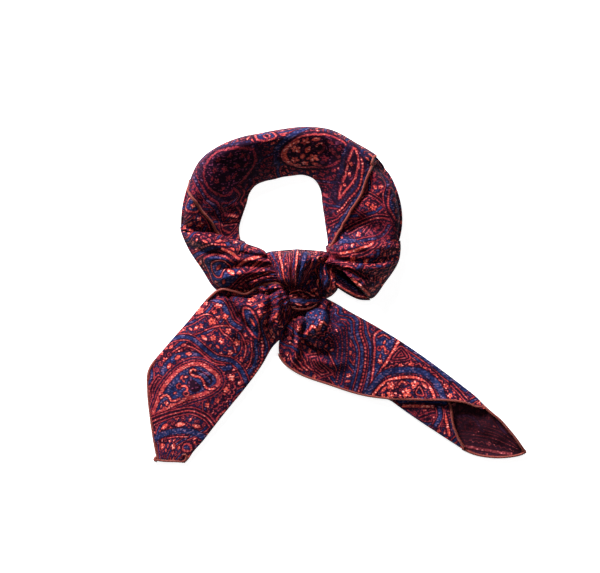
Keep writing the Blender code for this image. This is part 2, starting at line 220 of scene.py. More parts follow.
def unevenness(plan, amount=0.4):
    """The slight waviness that no lie of cloth is without."""
    x, y = plan[..., 0], plan[..., 1]
    wave = np.sin(x / 5.1 + 1.7 * np.sin(y / 9.0)) * np.sin(y / 6.3 + 1.1 * np.sin(x / 7.7))
    return amount * (wave + 0.5 * np.sin((x - 0.8 * y) / 3.4 + np.sin(y / 8)))


def hump(share, edge_a, edge_b, rise, crest):
    """Height across a section: a straight line between its edges, with a soft rise that peaks at crest."""
    skew = np.log(0.5) / np.log(crest)
    return edge_a + (edge_b - edge_a) * share + rise * np.sin(np.pi * share**skew) ** 0.8


# %% [markdown]
# The two edges of a section are finished in one of two ways. A plain edge is one rounded fold. A layered
# edge shows the folded layers one above the other, with a crease between two of them.

# %% Edge forms
def rounded_edge(reach, points=11):
    """Points round a fold: how far each stands out in mm, and its level from the top, 1, to the bottom, 0."""
    turn = np.linspace(0, np.pi, points + 2)[1:-1]
    return np.column_stack([reach * np.sin(turn), 0.5 + 0.5 * np.cos(turn)])


def layered_edge(reach, layers, points=6):
    """Points round a stack of folded layers, as rounded_edge gives them."""
    rolls = []
    for layer in range(layers):
        turn = np.linspace(0, np.pi, points + 2)[1:-1]
        level = 1 - (layer + 0.5 - 0.5 * np.cos(turn)) / layers
        stand = (1 - 0.22 * (layer % 2)) * reach * np.sin(turn) ** 0.7
        rolls.append(np.column_stack([stand, level]))
    return np.vstack(rolls)


def edge_columns(plan, neighbour, top, bottom, form):
    """The columns of points that round one edge of every section, from its top to its bottom."""
    outward = plan - neighbour
    outward = outward / np.maximum(np.linalg.norm(outward, axis=1), 1e-6)[:, None]
    thickness = top - bottom
    reach = np.clip(thickness / 3.0, 0.15, 1)
    return [
        np.column_stack([plan + outward * (stand * reach)[:, None], bottom + level * thickness])
        for stand, level in form
    ]


# %% [markdown]
# A loop starts in the middle of the underside, where the join in the pattern can't be seen. The cloth's own
# two coordinates go with it. Both follow the true length over the cloth, along the stretch and across it, so
# that the weave is never stretched. In the middle of a stretch they are the place in plan.

# %% Lofts
UNDER_COLUMNS = 31
Loft = namedtuple("Loft", "points cloth top_columns")


def developed(line, height):
    """A line in plan, lengthened by the height that the cloth climbs along it."""
    moved = np.diff(line, axis=0)
    run = np.linalg.norm(moved, axis=1)
    moved = moved * (np.hypot(run, np.diff(height)) / np.maximum(run, 1e-6))[:, None]
    longer = np.vstack([[0, 0], np.cumsum(moved, axis=0)])
    middle = len(line) // 2
    return longer + line[middle] - longer[middle]


def loft(plan, top, bottom, form_a, form_b, gather=None):
    """Closed loops round every section, with the cloth coordinates of each of their points."""
    columns = plan.shape[1]
    pick = np.linspace(0, columns - 1, UNDER_COLUMNS).round().astype(int)
    middle = UNDER_COLUMNS // 2
    under = [np.column_stack([plan[:, j], bottom[:, j]]) for j in pick]
    over = [np.column_stack([plan[:, j], top[:, j]]) for j in range(columns)]
    side_a = edge_columns(plan[:, 0], plan[:, 1], top[:, 0], bottom[:, 0], form_a)
    side_b = edge_columns(plan[:, -1], plan[:, -2], top[:, -1], bottom[:, -1], form_b)
    parts = under[middle::-1] + side_a[::-1] + over + side_b + under[:middle:-1]
    points = np.stack(parts, axis=1)
    first = middle + 1 + len(side_a)
    centre = first + columns // 2
    arc = across_lengths(points, centre)
    if gather is not None:
        arc = arc * gather[:, None]
    across = plan[:, -1] - plan[:, 0]
    across = across / np.linalg.norm(across, axis=1)[:, None]
    line = developed(points[:, centre, :2], top.mean(axis=1))
    cloth = line[:, None, :] + across[:, None, :] * arc[:, :, None]
    return Loft(points, cloth, slice(first, first + columns))


def volume_sign(points, faces):
    a, b, c = (points[faces[:, i]] for i in range(3))
    return np.einsum("ij,ij->i", a, np.cross(b, c)).sum()


def mesh_of(name, shape, material, woven=None):
    """Skins a loft into one closed mesh in the frame, with its cloth coordinates and woven distances."""
    sections, around = shape.points.shape[:2]
    points = shape.points.reshape(-1, 3) + TO_FRAME
    corner = np.arange(sections * around).reshape(sections, around)
    following = np.roll(corner, -1, axis=1)
    quads = np.stack([corner[:-1], following[:-1], following[1:], corner[1:]], axis=-1).reshape(-1, 4)
    caps = [corner[0][::-1], corner[-1]]
    if volume_sign(points, quads) < 0:
        quads = quads[:, ::-1]
        caps = [cap[::-1] for cap in caps]
    mesh = bpy.data.meshes.new(name)
    mesh.from_pydata((points * MM).tolist(), [], quads.tolist() + [cap.tolist() for cap in caps])
    mesh.materials.append(material)
    store_uv(mesh, shape.cloth.reshape(-1, 2))
    for field_name, values in (woven._asdict() if woven else {}).items():
        mesh.attributes.new(field_name, "FLOAT", "POINT").data.foreach_set("value", values.astype(np.float32))
    mesh.shade_smooth()
    piece = bpy.data.objects.new(name, mesh)
    bpy.context.scene.collection.objects.link(piece)
    print(name, len(quads) * 2, "triangles")
    return piece


def store_uv(mesh, cloth):
    """Writes cloth coordinates in millimetres as a UV map in centimetres."""
    corners = np.empty(len(mesh.loops), np.int32)
    mesh.loops.foreach_get("vertex_index", corners)
    layer = mesh.uv_layers.new(name="cloth")
    layer.uv.foreach_set("vector", (cloth[corners] * 0.1).astype(np.float32).ravel())


# %% [markdown]
# ## The woven paisley
# The brocade has a coral figure on a ground that is navy in some places and nearly black in others. Each
# point of the cloth gets two distances in millimetres: `figure`, above zero inside the coral, and `ground`,
# above zero in the navy. The material turns them into threads, so the edges stay sharp at any distance.
#
# A motif is a smooth line through a few places, and strokes laid along it. A stroke lies at some distance
# from the line, to its left or inside it if that is above zero, and it has a width. Ropes, beads and scallops
# repeat along the line too.

# %% Motif lines
Woven = namedtuple("Woven", "figure ground")
Stroke = namedtuple("Stroke", "kind at width pitch", defaults=(0, 0, 0))
Motif = namedtuple("Motif", "strokes closed points")
LineField = namedtuple("LineField", "distance along past")


def smooth_line(points, closed, per=7):
    """A line of many points through a few, joined to its own start if it is closed."""
    if closed:
        points = np.vstack([points[-1:], points, points[:2]])
        return along(points, np.linspace(1, len(points) - 2, per * (len(points) - 3) + 1))
    return along(points, np.linspace(0, len(points) - 1, per * (len(points) - 1) + 1))


def inside_of(places, line):
    """Whether each place lies inside a closed line."""
    inside = np.zeros(len(places), bool)
    for (x1, y1), (x2, y2) in zip(line[:-1], line[1:]):
        spans = (y1 > places[:, 1]) != (y2 > places[:, 1])
        if y1 != y2:
            inside ^= spans & (places[:, 0] < x1 + (x2 - x1) * (places[:, 1] - y1) / (y2 - y1))
    return inside


def line_field(places, line, closed):
    """How far places are from a line, the nearest length along it, and how far past its ends they are."""
    best = np.full(len(places), np.inf)
    side, at, past = (np.zeros(len(places)) for _ in range(3))
    run = run_lengths(line)
    last = len(line) - 2
    for k in range(last + 1):
        away = places - line[k]
        step = line[k + 1] - line[k]
        length = max(run[k + 1] - run[k], 1e-6)
        t = away @ step / length**2
        held = np.clip(t, 0, 1)
        distance = np.hypot(*(away - held[:, None] * step).T)
        near = distance < best
        best[near] = distance[near]
        side[near] = (step[0] * away[:, 1] - step[1] * away[:, 0])[near]
        at[near] = (run[k] + held * length)[near]
        beyond = np.where(t < 0, -t if k == 0 else 0, np.where(t > 1, t - 1 if k == last else 0, 0)) * length
        past[near] = beyond[near]
    if closed:
        return LineField(np.where(inside_of(places, line), best, -best), at, np.zeros(len(places)))
    return LineField(np.where(side >= 0, best, -best), at, past)


# %% [markdown]
# A stroke that is coral adds to the figure. One that is navy or dark wipes the figure off its own band and
# sets the ground there, and a clear one only wipes. The painted-shade kind is painted shade: inside it the
# figure is thin and hardly shows, and the navy is taken out.

# %% Strokes
ROPE_NOTCH = 0.55
ROPE_NOTCH_SHARPNESS = 6
SCALLOP_DEPTH = 0.35
SCALLOP_LEVEL = 0.6
BEAD_SQUASH = 0.8
END_ROOM = 0.4
# How much of the figure is left inside painted shade, in mm.
PAINTED_SHADE_DEPTH = 0.12


def stroke_band(stroke, field):
    """How deep each place lies inside a stroke, in mm."""
    if stroke.kind.startswith("inner"):
        return field.distance - stroke.at
    away = field.distance - stroke.at
    turn = np.pi * field.along / (stroke.pitch or 1)
    if stroke.kind == "scallop":
        away = away - SCALLOP_DEPTH * stroke.pitch * (np.abs(np.sin(turn)) - SCALLOP_LEVEL)
    band = stroke.width / 2 - np.abs(away)
    if stroke.kind == "rope":
        band = band - ROPE_NOTCH * np.abs(np.cos(turn)) ** ROPE_NOTCH_SHARPNESS
    if stroke.kind == "beads":
        step = (field.along % stroke.pitch) - stroke.pitch / 2
        band = stroke.width / 2 - np.hypot(away, step * BEAD_SQUASH)
    if stroke.at:
        band = np.minimum(band, END_ROOM - field.past)
    return band


def paint(woven, spots, band, kind):
    """Adds a band to the figure, or wipes it off and sets the ground."""
    figure, ground = woven
    # Painted shade: the figure is thinned and the navy taken out, so the cloth reads darker where it lies in
    # shade.
    if kind == "inner painted shade":
        outside = np.maximum(-band, 0)
        figure[spots] = np.minimum(figure[spots], PAINTED_SHADE_DEPTH + 0.5 * outside)
        ground[spots] = np.minimum(ground[spots], outside - 0.1)
        return
    if kind in ("coral", "rope", "beads", "scallop"):
        figure[spots] = np.maximum(figure[spots], band)
        return
    figure[spots] = np.minimum(figure[spots], -band)
    if kind.endswith("navy"):
        ground[spots] = np.maximum(ground[spots], band)
    if kind.endswith("dark"):
        ground[spots] = np.minimum(ground[spots], -band)


def draw_motif(woven, places, motif, line):
    reach = max(abs(stroke.at) + stroke.width + stroke.pitch for stroke in motif.strokes)
    low, high = line.min(axis=0) - reach, line.max(axis=0) + reach
    spots = np.flatnonzero(np.all((places > low) & (places < high), axis=1))
    if len(spots):
        field = line_field(places[spots], line, motif.closed)
        for stroke in motif.strokes:
            paint(woven, spots, stroke_band(stroke, field), stroke.kind)


# %% [markdown]
# These are the kinds of line that the design is made of. The rope is the broad notched border of the large
# botehs, the drop-shaped figures with a bent tip that give paisley its name.

# %% Kinds of line
BOTEH = [
    Stroke("dark", -3.6, 4.6),
    Stroke("inner navy"),
    Stroke("rope", 0.2, 4.0, 2.5),
    Stroke("coral", -3.0, 0.8),
    Stroke("navy", -4.2, 1.2),
    Stroke("coral", -5.4, 0.8),
]
SMALL_BOTEH = [
    Stroke("dark", -1.6, 2.2),
    Stroke("inner navy"),
    Stroke("rope", 0.2, 2.1, 2.2),
]
DARK_BOTEH = [
    Stroke("dark", -2.4, 2.4),
    Stroke("inner dark"),
    Stroke("coral", 0.6, 2.0),
    Stroke("navy", -4.4, 3.4),
]
BOLD = [Stroke("dark", 0, 7.0), Stroke("rope", 0, 4.2, 2.6)]
MEDALLION = [Stroke("dark", -1.6, 2.2), Stroke("inner dark"), Stroke("coral", 0.6, 1.9)]
CRESCENT = [Stroke("rope", 0, 4.2, 2.8)]
# A closed dark fill: the dark heart of a figure, and painted shade where it lies over the mouth of the front
# right.
DARK_FILL_AND_SHADE = [Stroke("inner dark")]
# Painted shade: a closed patch where the figure is dimmed because the cloth lies in shade.
PAINTED_SHADE = [Stroke("inner painted shade")]
OUTLINE = [Stroke("dark", 0, 3.2), Stroke("coral", 0, 1.3)]
NESTED = [
    Stroke("inner dark"),
    Stroke("coral", 0.2, 1.0),
    Stroke("coral", 2.6, 0.9),
    Stroke("coral", 5.0, 0.9),
]
DOUBLE = [Stroke("dark", 0, 5.6), Stroke("coral", -1.5, 1.0), Stroke("coral", 1.5, 1.0)]
TRIPLE = [
    Stroke("dark", 0, 8.6),
    Stroke("coral", -3.0, 0.9),
    Stroke("coral", 0, 1.3),
    Stroke("coral", 3.0, 0.9),
]
SWOOSH = [
    Stroke("dark", 0, 8.0),
    Stroke("navy", 0, 3.4),
    Stroke("coral", -3.0, 1.0),
    Stroke("coral", 3.0, 1.0),
]
NAVY_BAND = [Stroke("dark", 0, 6.4), Stroke("navy", 0, 5.0)]
NAVY_STRIPE = [Stroke("dark", 0, 4.0), Stroke("navy", 0, 2.8)]
THICK = [Stroke("dark", 0, 5.0), Stroke("coral", 0, 2.9)]
ROPE = [Stroke("dark", 0, 5.2), Stroke("rope", 0, 3.0, 2.4)]
BEADS = [Stroke("dark", 0, 4.0), Stroke("beads", 0, 2.3, 3.0)]
DOTTED = [Stroke("navy", 0, 4.4), Stroke("dark", 0, 1.6), Stroke("beads", 0, 1.2, 2.2)]
SCALLOPS = [Stroke("dark", 0, 4.6), Stroke("scallop", 0, 1.2, 5.0)]
SCROLL = [Stroke("clear", 0, 3.8), Stroke("coral", 0, 2.1)]
HOOK = [Stroke("dark", 0, 3.6), Stroke("rope", 0, 2.3, 2.0)]
RINGLET = [Stroke("inner dark"), Stroke("coral", 0.2, 1.3)]
NAVY_HOLE = [Stroke("inner dark"), Stroke("inner navy", 2.2)]
NAVY_DISC = [Stroke("inner dark"), Stroke("inner navy", 0.4)]
# Painted shade: a dark stroke laid along a deep crease.
CREASE_SHADE = [Stroke("dark", 0, 2.6)]
WIDE_BANDS = [
    Stroke("dark", 0, 17.0),
    Stroke("coral", 7.6, 1.2),
    Stroke("navy", 5.2, 2.6),
    Stroke("coral", 3.0, 0.7),
    Stroke("beads", 0.6, 2.0, 3.2),
    Stroke("navy", -2.6, 2.6),
    Stroke("coral", -5.0, 0.8),
    Stroke("navy", -7.0, 1.8),
]

# %% [markdown]
# Flowers, leaves and dots are small figures of their own. A flower's edge is a wave round its middle, a
# little fuller on one side, and a leaf is the overlap of two arcs.

# %% Flowers and leaves
Flower = namedtuple("Flower", "x y radius petals", defaults=(5,))
Leaf = namedtuple("Leaf", "x y heading length width")


def turned(away, heading):
    """Places seen from a frame that is turned by the heading, in radians."""
    cos, sin = np.cos(heading), np.sin(heading)
    return cos * away[..., 0] + sin * away[..., 1], -sin * away[..., 0] + cos * away[..., 1]


def flower_shape(away, radius, petals, heading):
    distance = np.hypot(away[..., 0], away[..., 1])
    angle = np.arctan2(away[..., 1], away[..., 0]) - heading
    petal = np.abs(np.cos(petals * angle / 2 + 0.5 * np.sin(angle)))
    edge = radius * (0.44 + 0.56 * petal**0.8) * (1 + 0.22 * np.cos(angle + 1))
    return np.minimum(0.9 * (edge - distance), 1.3 * (distance - 0.11 * radius))


def leaf_shape(away, heading, length, width):
    x, y = turned(away, heading)
    return 0.9 * (width / 2 * (1 - (2 * x / length) ** 2) - np.abs(y))


def ring_shape(away, radius, width):
    return width / 2 - np.abs(np.hypot(away[..., 0], away[..., 1]) - radius)


def curl_shape(away, heading, radius, width):
    """An open hook: most of a ring, with a straight tail at its end."""
    x, y = turned(away, heading)
    ahead = x + 0.5 * radius
    hook = np.minimum(ring_shape(away, radius, width), 1.5 * ahead)
    tail = width / 2 - np.hypot(ahead - np.clip(ahead, -1.1 * radius, 0), y - 0.87 * radius)
    return np.maximum(hook, tail)


def place_small(woven, places, centre, size, shape_at, rim=0.9):
    """Lays a small figure on the cloth, with a rim of bare ground round it."""
    spots = np.flatnonzero(np.all(np.abs(places - centre) < size + rim + 1, axis=1))
    if len(spots):
        shape = shape_at(places[spots] - centre)
        woven.figure[spots] = np.maximum(np.minimum(woven.figure[spots], -(shape + rim)), shape)


# %% [markdown]
# Between the large figures the ground is strewn with small ones. The cloth is cut into square cells, and a
# repeatable number for each cell picks a flower, a leaf, a hook or a ring with a dot, and turns it.

# %% Strewn ground
def cell_number(cells, seed):
    """A repeatable number from 0 to 1 for each cell."""
    mixed = np.sin(cells[:, 0] * 127.1 + cells[:, 1] * 311.7 + seed * 74.7) * 43758.5453
    return mixed - np.floor(mixed)


def cells_of(places, size, turn):
    """The cell that each place is in, and where it lies from the cell's middle, in mm."""
    x, y = turned(places, math.radians(turn))
    grid = np.column_stack([x, y]) / size
    grid[:, 0] += 0.5 * (np.floor(grid[:, 1]) % 2)
    cells = np.floor(grid)
    return cells, (grid - cells - 0.5) * size


def strewn(places, size, turn, seed):
    """The strewn figures, as a distance above zero inside them."""
    cells, away = cells_of(places, size, turn)
    first, second, third, pick = (cell_number(cells, seed + n) for n in range(4))
    away = away - np.column_stack([first - 0.5, second - 0.5]) * 0.22 * size
    heading = third * 2 * np.pi
    choice = [
        flower_shape(away, 0.40 * size, 5, heading),
        leaf_shape(away, heading, 0.95 * size, 0.42 * size),
        curl_shape(away, heading, 0.24 * size, 0.15 * size),
        np.maximum(ring_shape(away, 0.30 * size, 0.13 * size), ring_shape(away, 0, 0.26 * size)),
        flower_shape(away, 0.44 * size, 4, heading),
    ]
    return np.choose((pick * len(choice)).astype(int), choice)


def wandering(places, spacing, turn, seed):
    """The distance to the nearest of a family of wandering lines."""
    def height(at):
        x, y = turned(at, math.radians(turn))
        return y + 7 * np.sin(x / 12 + seed) + 5 * np.sin((x + 1.4 * y) / 15 + 2 * seed)

    here = height(places)
    slope = np.hypot(height(places + [0.1, 0]) - here, height(places + [0, 0.1]) - here) / 0.1
    row = np.round(here / spacing)
    return (here - row * spacing) / np.maximum(slope, 0.6)


GROUND_CELL = 5.8
SPECK_CELL = 2.7
WANDER_SPACING = 22.0
WANDER_STROKES = [("dark", 0, 6.2), ("navy", 0, 2.2), ("coral", 2.2, 0.9), ("coral", -2.2, 0.9)]


def plain_ground(places, turn, seed):
    """Strewn figures, specks and wandering bands, on a ground that is navy in patches."""
    x, y = turned(places, math.radians(turn + 20))
    figure = strewn(places, GROUND_CELL, turn, seed)
    specks = ring_shape(cells_of(places, SPECK_CELL, turn + 31)[1], 0, 1.0)
    figure = np.maximum(figure, np.minimum(specks, -figure - 1.3))
    patches = np.sin(x / 9.5 + seed) + np.sin(y / 8.0 - seed) + 0.7 * np.sin((x + y) / 4.5)
    woven = Woven(figure, 1.6 * patches + 0.7)
    away = wandering(places, WANDER_SPACING, turn, seed)
    everywhere = np.arange(len(places))
    for kind, at, width in WANDER_STROKES:
        paint(woven, everywhere, width / 2 - np.abs(away - at), kind)
    return woven


# %% [markdown]
# Motifs are placed as they are seen from above, in plan. The cloth has its own coordinates, so each place is
# moved to the cloth point that lies there, and the design then follows every fold.

# %% Weaving a piece
Anchors = namedtuple("Anchors", "plan cloth")
WOVEN_LIMIT = 4


def anchors_of(shape, every=3):
    """Places in plan on the top of a piece, and the cloth coordinates that lie there."""
    top = (slice(None, None, every), shape.top_columns)
    plan = shape.points[top][:, ::every, :2].reshape(-1, 2)
    return Anchors(plan, shape.cloth[top][:, ::every].reshape(-1, 2))


def on_cloth(anchors, place):
    nearest = np.argmin(np.sum((anchors.plan - place) ** 2, axis=1))
    return anchors.cloth[nearest] + (place - anchors.plan[nearest])


def weave(shape, motifs, turn=0.0, seed=1.0, anchors=None):
    """The two woven distances at every point of a piece."""
    places = shape.cloth.reshape(-1, 2)
    anchors = anchors or anchors_of(shape)
    woven = plain_ground(places, turn, seed)
    for motif in motifs:
        if isinstance(motif, Motif):
            points = np.array([on_cloth(anchors, np.array(point)) for point in motif.points])
            draw_motif(woven, places, motif, smooth_line(points, motif.closed))
            continue
        centre = on_cloth(anchors, np.array([motif.x, motif.y]))
        if isinstance(motif, Flower):
            heading = motif.x + 0.7 * motif.y
            shape_at = partial(flower_shape, radius=motif.radius, petals=motif.petals, heading=heading)
            place_small(woven, places, centre, motif.radius, shape_at)
        else:
            heading = math.radians(motif.heading)
            shape_at = partial(leaf_shape, heading=heading, length=motif.length, width=motif.width)
            place_small(woven, places, centre, motif.length, shape_at)
    return Woven(*(np.clip(values, -WOVEN_LIMIT, WOVEN_LIMIT) for values in woven))


# %% [markdown]
# The material reads the two distances. Each crossing of two threads gets its own small shift, so the edges
# of a figure step from thread to thread, as they do in weaving. Coral is deeper at its edges, and a black
# line of ground runs round it.

# %% Thread node group
def new_node(tree, kind, settings=(), **links):
    """A node with its settings made and its inputs set or linked, by name or number."""
    node = tree.nodes.new(kind)
    for key, value in dict(settings).items():
        setattr(node, key, value)
    for key, value in links.items():
        by_number = key[0] == "i" and key[1:].isdigit()
        socket = node.inputs[int(key[1:]) if by_number else key.replace("_", " ")]
        if isinstance(value, bpy.types.NodeSocket):
            tree.links.new(value, socket)
        else:
            socket.default_value = value
    return node


def maths(tree, operation, first, second=0.0):
    return new_node(tree, "ShaderNodeMath", {"operation": operation}, i0=first, i1=second).outputs[0]


def ramped(tree, value, low, high, start=0.0, end=1.0):
    """A value carried smoothly from one range to another, and held at its ends."""
    settings = {"interpolation_type": "SMOOTHSTEP"}
    return new_node(
        tree, "ShaderNodeMapRange", settings, i0=value, i1=low, i2=high, i3=start, i4=end
    ).outputs["Result"]


def blended(tree, factor, first, second):
    node = new_node(tree, "ShaderNodeMix", {"data_type": "RGBA"}, i0=factor)
    for socket, value in ((node.inputs[6], first), (node.inputs[7], second)):
        if isinstance(value, bpy.types.NodeSocket):
            tree.links.new(value, socket)
        else:
            socket.default_value = (*value, 1.0)
    return node.outputs[2]


def thread_noise(tree, cloth, size):
    """A number from 0 to 1 for each cell of the given size, in centimetres of cloth."""
    snapped = new_node(tree, "ShaderNodeVectorMath", {"operation": "SNAP"}, i0=cloth, i1=(*size, 1.0))
    noise = new_node(
        tree, "ShaderNodeTexWhiteNoise", {"noise_dimensions": "2D"}, Vector=snapped.outputs[0]
    )
    return noise.outputs["Value"]


CROSSING_CELL = (0.055, 0.045)
WEFT_CELL = (0.32, 0.045)
FLOAT_CELL = (0.15, 0.09)
CROSSING_SHIFT = 0.55
FLOAT_SHIFT = 0.45
GROUP_INPUTS = {"Figure": "NodeSocketFloat", "Ground": "NodeSocketFloat", "Cloth": "NodeSocketVector"}


def brocade_group():
    """Node group: the woven distances in, the colour masks and the height of the threads out."""
    tree = bpy.data.node_groups.new("brocade_threads", "ShaderNodeTree")
    face = tree.interface
    for name, kind in GROUP_INPUTS.items():
        face.new_socket(name, in_out="INPUT", socket_type=kind)
    for name in ("Coral", "Depth", "Navy", "Outline", "Float", "Gleam", "Thread", "Rib", "Height"):
        face.new_socket(name, in_out="OUTPUT", socket_type="NodeSocketFloat")
    given = tree.nodes.new("NodeGroupInput").outputs
    crossing = thread_noise(tree, given["Cloth"], CROSSING_CELL)
    weft = thread_noise(tree, given["Cloth"], WEFT_CELL)
    floats = thread_noise(tree, given["Cloth"], FLOAT_CELL)
    shift = maths(tree, "MULTIPLY", maths(tree, "SUBTRACT", crossing, 0.5), CROSSING_SHIFT)
    float_shift = maths(tree, "MULTIPLY", maths(tree, "SUBTRACT", floats, 0.5), FLOAT_SHIFT)
    shift = maths(tree, "ADD", shift, float_shift)
    figure = maths(tree, "ADD", given["Figure"], shift)
    coral = ramped(tree, figure, -0.12, 0.12)
    twill = new_node(
        tree, "ShaderNodeTexWave", {"bands_direction": "DIAGONAL"},
        Vector=given["Cloth"], Scale=5.5, Distortion=0.6,
    ).outputs["Fac"]
    ribs = new_node(
        tree, "ShaderNodeTexWave", {"bands_direction": "X", "wave_profile": "SIN"},
        Vector=given["Cloth"], Scale=2.1, Distortion=2.2, Detail=1.5, Detail_Scale=3.0,
    ).outputs["Fac"]
    height = maths(tree, "ADD", maths(tree, "MULTIPLY", coral, 0.6), maths(tree, "MULTIPLY", twill, 0.5))
    results = {
        "Coral": coral,
        "Depth": ramped(tree, given["Figure"], 0.0, 1.0),
        "Navy": ramped(tree, maths(tree, "ADD", given["Ground"], shift), -0.2, 0.2),
        "Outline": ramped(tree, figure, -1.1, -0.45),
        "Float": ramped(tree, floats, 0.20, 1.0),
        "Gleam": ramped(tree, floats, 0.78, 0.98),
        "Thread": weft,
        "Rib": ramped(tree, ribs, 0.18, 0.5),
        "Height": maths(tree, "ADD", height, maths(tree, "MULTIPLY", weft, 0.3)),
    }
    ends = tree.nodes.new("NodeGroupOutput").inputs
    for name, socket in results.items():
        tree.links.new(socket, ends[name])
    return tree


# %% [markdown]
# The right side and the wrong side share the weave. Short floats of thread catch the light one by one, so
# navy and coral are each mixed from a deep and a bright tone. Coral is satin and the ground is dull. On the
# wrong side the ground is a dark burgundy and the figure barely shows.

# %% Brocade materials
Yarns = namedtuple("Yarns", "black plum navy_deep navy_bright lilac coral_deep coral coral_gleam")
FACE_YARNS = Yarns(
    (0.0060, 0.0010, 0.006), (0.130, 0.024, 0.060), (0.003, 0.005, 0.028), (0.011, 0.025, 0.088),
    (0.170, 0.078, 0.125), (0.135, 0.009, 0.018), (0.74, 0.102, 0.057), (0.88, 0.335, 0.285),
)
REVERSE_YARNS = Yarns(
    (0.009, 0.0020, 0.005), (0.040, 0.007, 0.018), (0.012, 0.003, 0.010), (0.030, 0.009, 0.030),
    (0.070, 0.016, 0.044), (0.030, 0.003, 0.006), (0.215, 0.034, 0.042), (0.480, 0.120, 0.130),
)
brocade_threads = brocade_group()


def brocade(name, yarns):
    material = bpy.data.materials.new(name)
    material.use_nodes = True
    tree = material.node_tree
    shader = tree.nodes["Principled BSDF"]
    figure = new_node(tree, "ShaderNodeAttribute", {"attribute_name": "figure"}).outputs["Fac"]
    ground = new_node(tree, "ShaderNodeAttribute", {"attribute_name": "ground"}).outputs["Fac"]
    cloth = new_node(tree, "ShaderNodeUVMap", {"uv_map": "cloth"}).outputs["UV"]
    threads = new_node(
        tree, "ShaderNodeGroup", {"node_tree": brocade_threads}, Figure=figure, Ground=ground, Cloth=cloth
    ).outputs
    gleam = threads["Gleam"]
    dark = blended(tree, gleam, yarns.black, yarns.plum)
    navy = blended(tree, threads["Float"], yarns.navy_deep, yarns.navy_bright)
    navy = blended(tree, maths(tree, "MULTIPLY", gleam, 0.6), navy, yarns.lilac)
    base = blended(tree, threads["Navy"], dark, navy)
    base = blended(tree, maths(tree, "MULTIPLY", threads["Outline"], 0.8), base, yarns.black)
    ribbed = maths(tree, "MULTIPLY", threads["Depth"], ramped(tree, threads["Rib"], 0.0, 1.0, 0.45, 1.0))
    shaded = maths(tree, "MULTIPLY", ribbed, ramped(tree, threads["Float"], 0.0, 0.5, 0.3, 1.0))
    coral = blended(tree, shaded, yarns.coral_deep, yarns.coral)
    coral = blended(tree, maths(tree, "MULTIPLY", gleam, threads["Depth"]), coral, yarns.coral_gleam)
    coral = blended(tree, maths(tree, "MULTIPLY", threads["Thread"], 0.3), coral, yarns.coral_deep)
    tree.links.new(blended(tree, threads["Coral"], base, coral), shader.inputs["Base Color"])
    bump = new_node(tree, "ShaderNodeBump", Height=threads["Height"], Strength=0.5, Distance=0.0002)
    tree.links.new(bump.outputs["Normal"], shader.inputs["Normal"])
    satin = maths(tree, "MULTIPLY", threads["Coral"], threads["Rib"])
    tree.links.new(ramped(tree, satin, 0.0, 1.0, 0.85, 0.40), shader.inputs["Roughness"])
    shader.inputs["Specular IOR Level"].default_value = 0.10
    shader.inputs["Specular Tint"].default_value = (1.0, 0.50, 0.58, 1.0)
    return material


face_material = brocade("brocade_right_side", FACE_YARNS)
reverse_material = brocade("brocade_wrong_side", REVERSE_YARNS)


def finish_piece(piece, node):
    """Stands a piece for its solid in the frame: hides the solid and hangs the piece from the root."""
    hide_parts(node)
    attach(piece, "root")


# %% [markdown]
# ## The neck ring
# The band lies open like a shallow bowl. Its inner edge rests on the table round the neck, it climbs to a
# crest close to the outer fold and rolls over there. The sections fan out round the neck, so the table gives
# each one's two ends as an angle and a distance.

# %% Ring table
RingRow = namedtuple("RingRow", "inner_deg inner_mm outer_deg outer_mm crown lip")

RING = [
    RingRow(-38, 49.5, -14.0, 104.6, 17, 13),
    RingRow(-19, 39.5, -5.5, 104.7, 22, 15),
    RingRow(0, 35.5, 4.5, 103.2, 28, 18),
    RingRow(16, 35.5, 17.0, 100.0, 31, 20),
    RingRow(32, 38.5, 31.0, 95.0, 32, 21),
    RingRow(47, 40.0, 45.0, 88.0, 33, 22),
    RingRow(62, 37.5, 60.0, 84.0, 34, 22),
    RingRow(76, 33.5, 75.0, 78.0, 34, 22),
    RingRow(90, 31.5, 90.0, 73.5, 34, 22),
    RingRow(105, 30.5, 105.0, 72.5, 34, 22),
    RingRow(120, 32.0, 119.5, 76.0, 34, 22),
    RingRow(135, 34.0, 133.5, 81.0, 34, 22),
    RingRow(150, 34.0, 147.5, 86.0, 33, 22),
    RingRow(166, 33.0, 161.5, 86.5, 32, 21),
    RingRow(183, 35.5, 174.0, 88.0, 29, 19),
    RingRow(200, 41.0, 183.5, 89.5, 25, 16),
    RingRow(217, 45.0, 189.5, 90.8, 21, 14),
]
INNER_ROOM = 0.9
OUTER_ROOM = 2.9
RING_CREST_AT = 0.86
RING_INNER_HEIGHT = 4.5
RING_CONTACT = 0.60
RING_FOLD_THICKNESS = 10.0
RING_WIDTH = 78
RING_LEAST_HEIGHT = 2.0
RING_CLIMB = 1.2
RING_TURN, RING_SEED = 35, 2.0
COVERED_STEP = 1.8 * STEP

RING_FOLDS = [
    Fold(-133, 60, -104, 51, 0, 4.5, -8.0),
    Fold(8, 56, 36, 55, 4, 7.0, -7.0),
    Fold(-12, 139, -4, 116, 2, 5.0, -2.2),
    Fold(-128, 100, -116, 76, 3, 6.0, -2.6),
    Fold(29, 113, 44, 98, 3, 4.5, -10.0),
    Fold(24, 100, 36, 80, -4, 6.0, -2.5),
    Fold(-113, 116, -82, 104, 2, 5.0, -2.0),
    Fold(-84, 137, -40, 126, -6, 6.0, -1.8),
    Fold(-70, 118, -38, 112, -3, 4.0, -1.3),
    Fold(-22, 126, 8, 108, 4, 5.0, -2.0),
    Fold(2, 98, 22, 64, -5, 5.0, -1.8),
    Fold(-106, 88, -92, 66, 3, 4.0, -1.6),
]


def polar(degrees, radius):
    angle = np.radians(degrees)
    return NECK_CENTRE + np.column_stack([np.cos(angle), np.sin(angle)]) * radius[:, None]


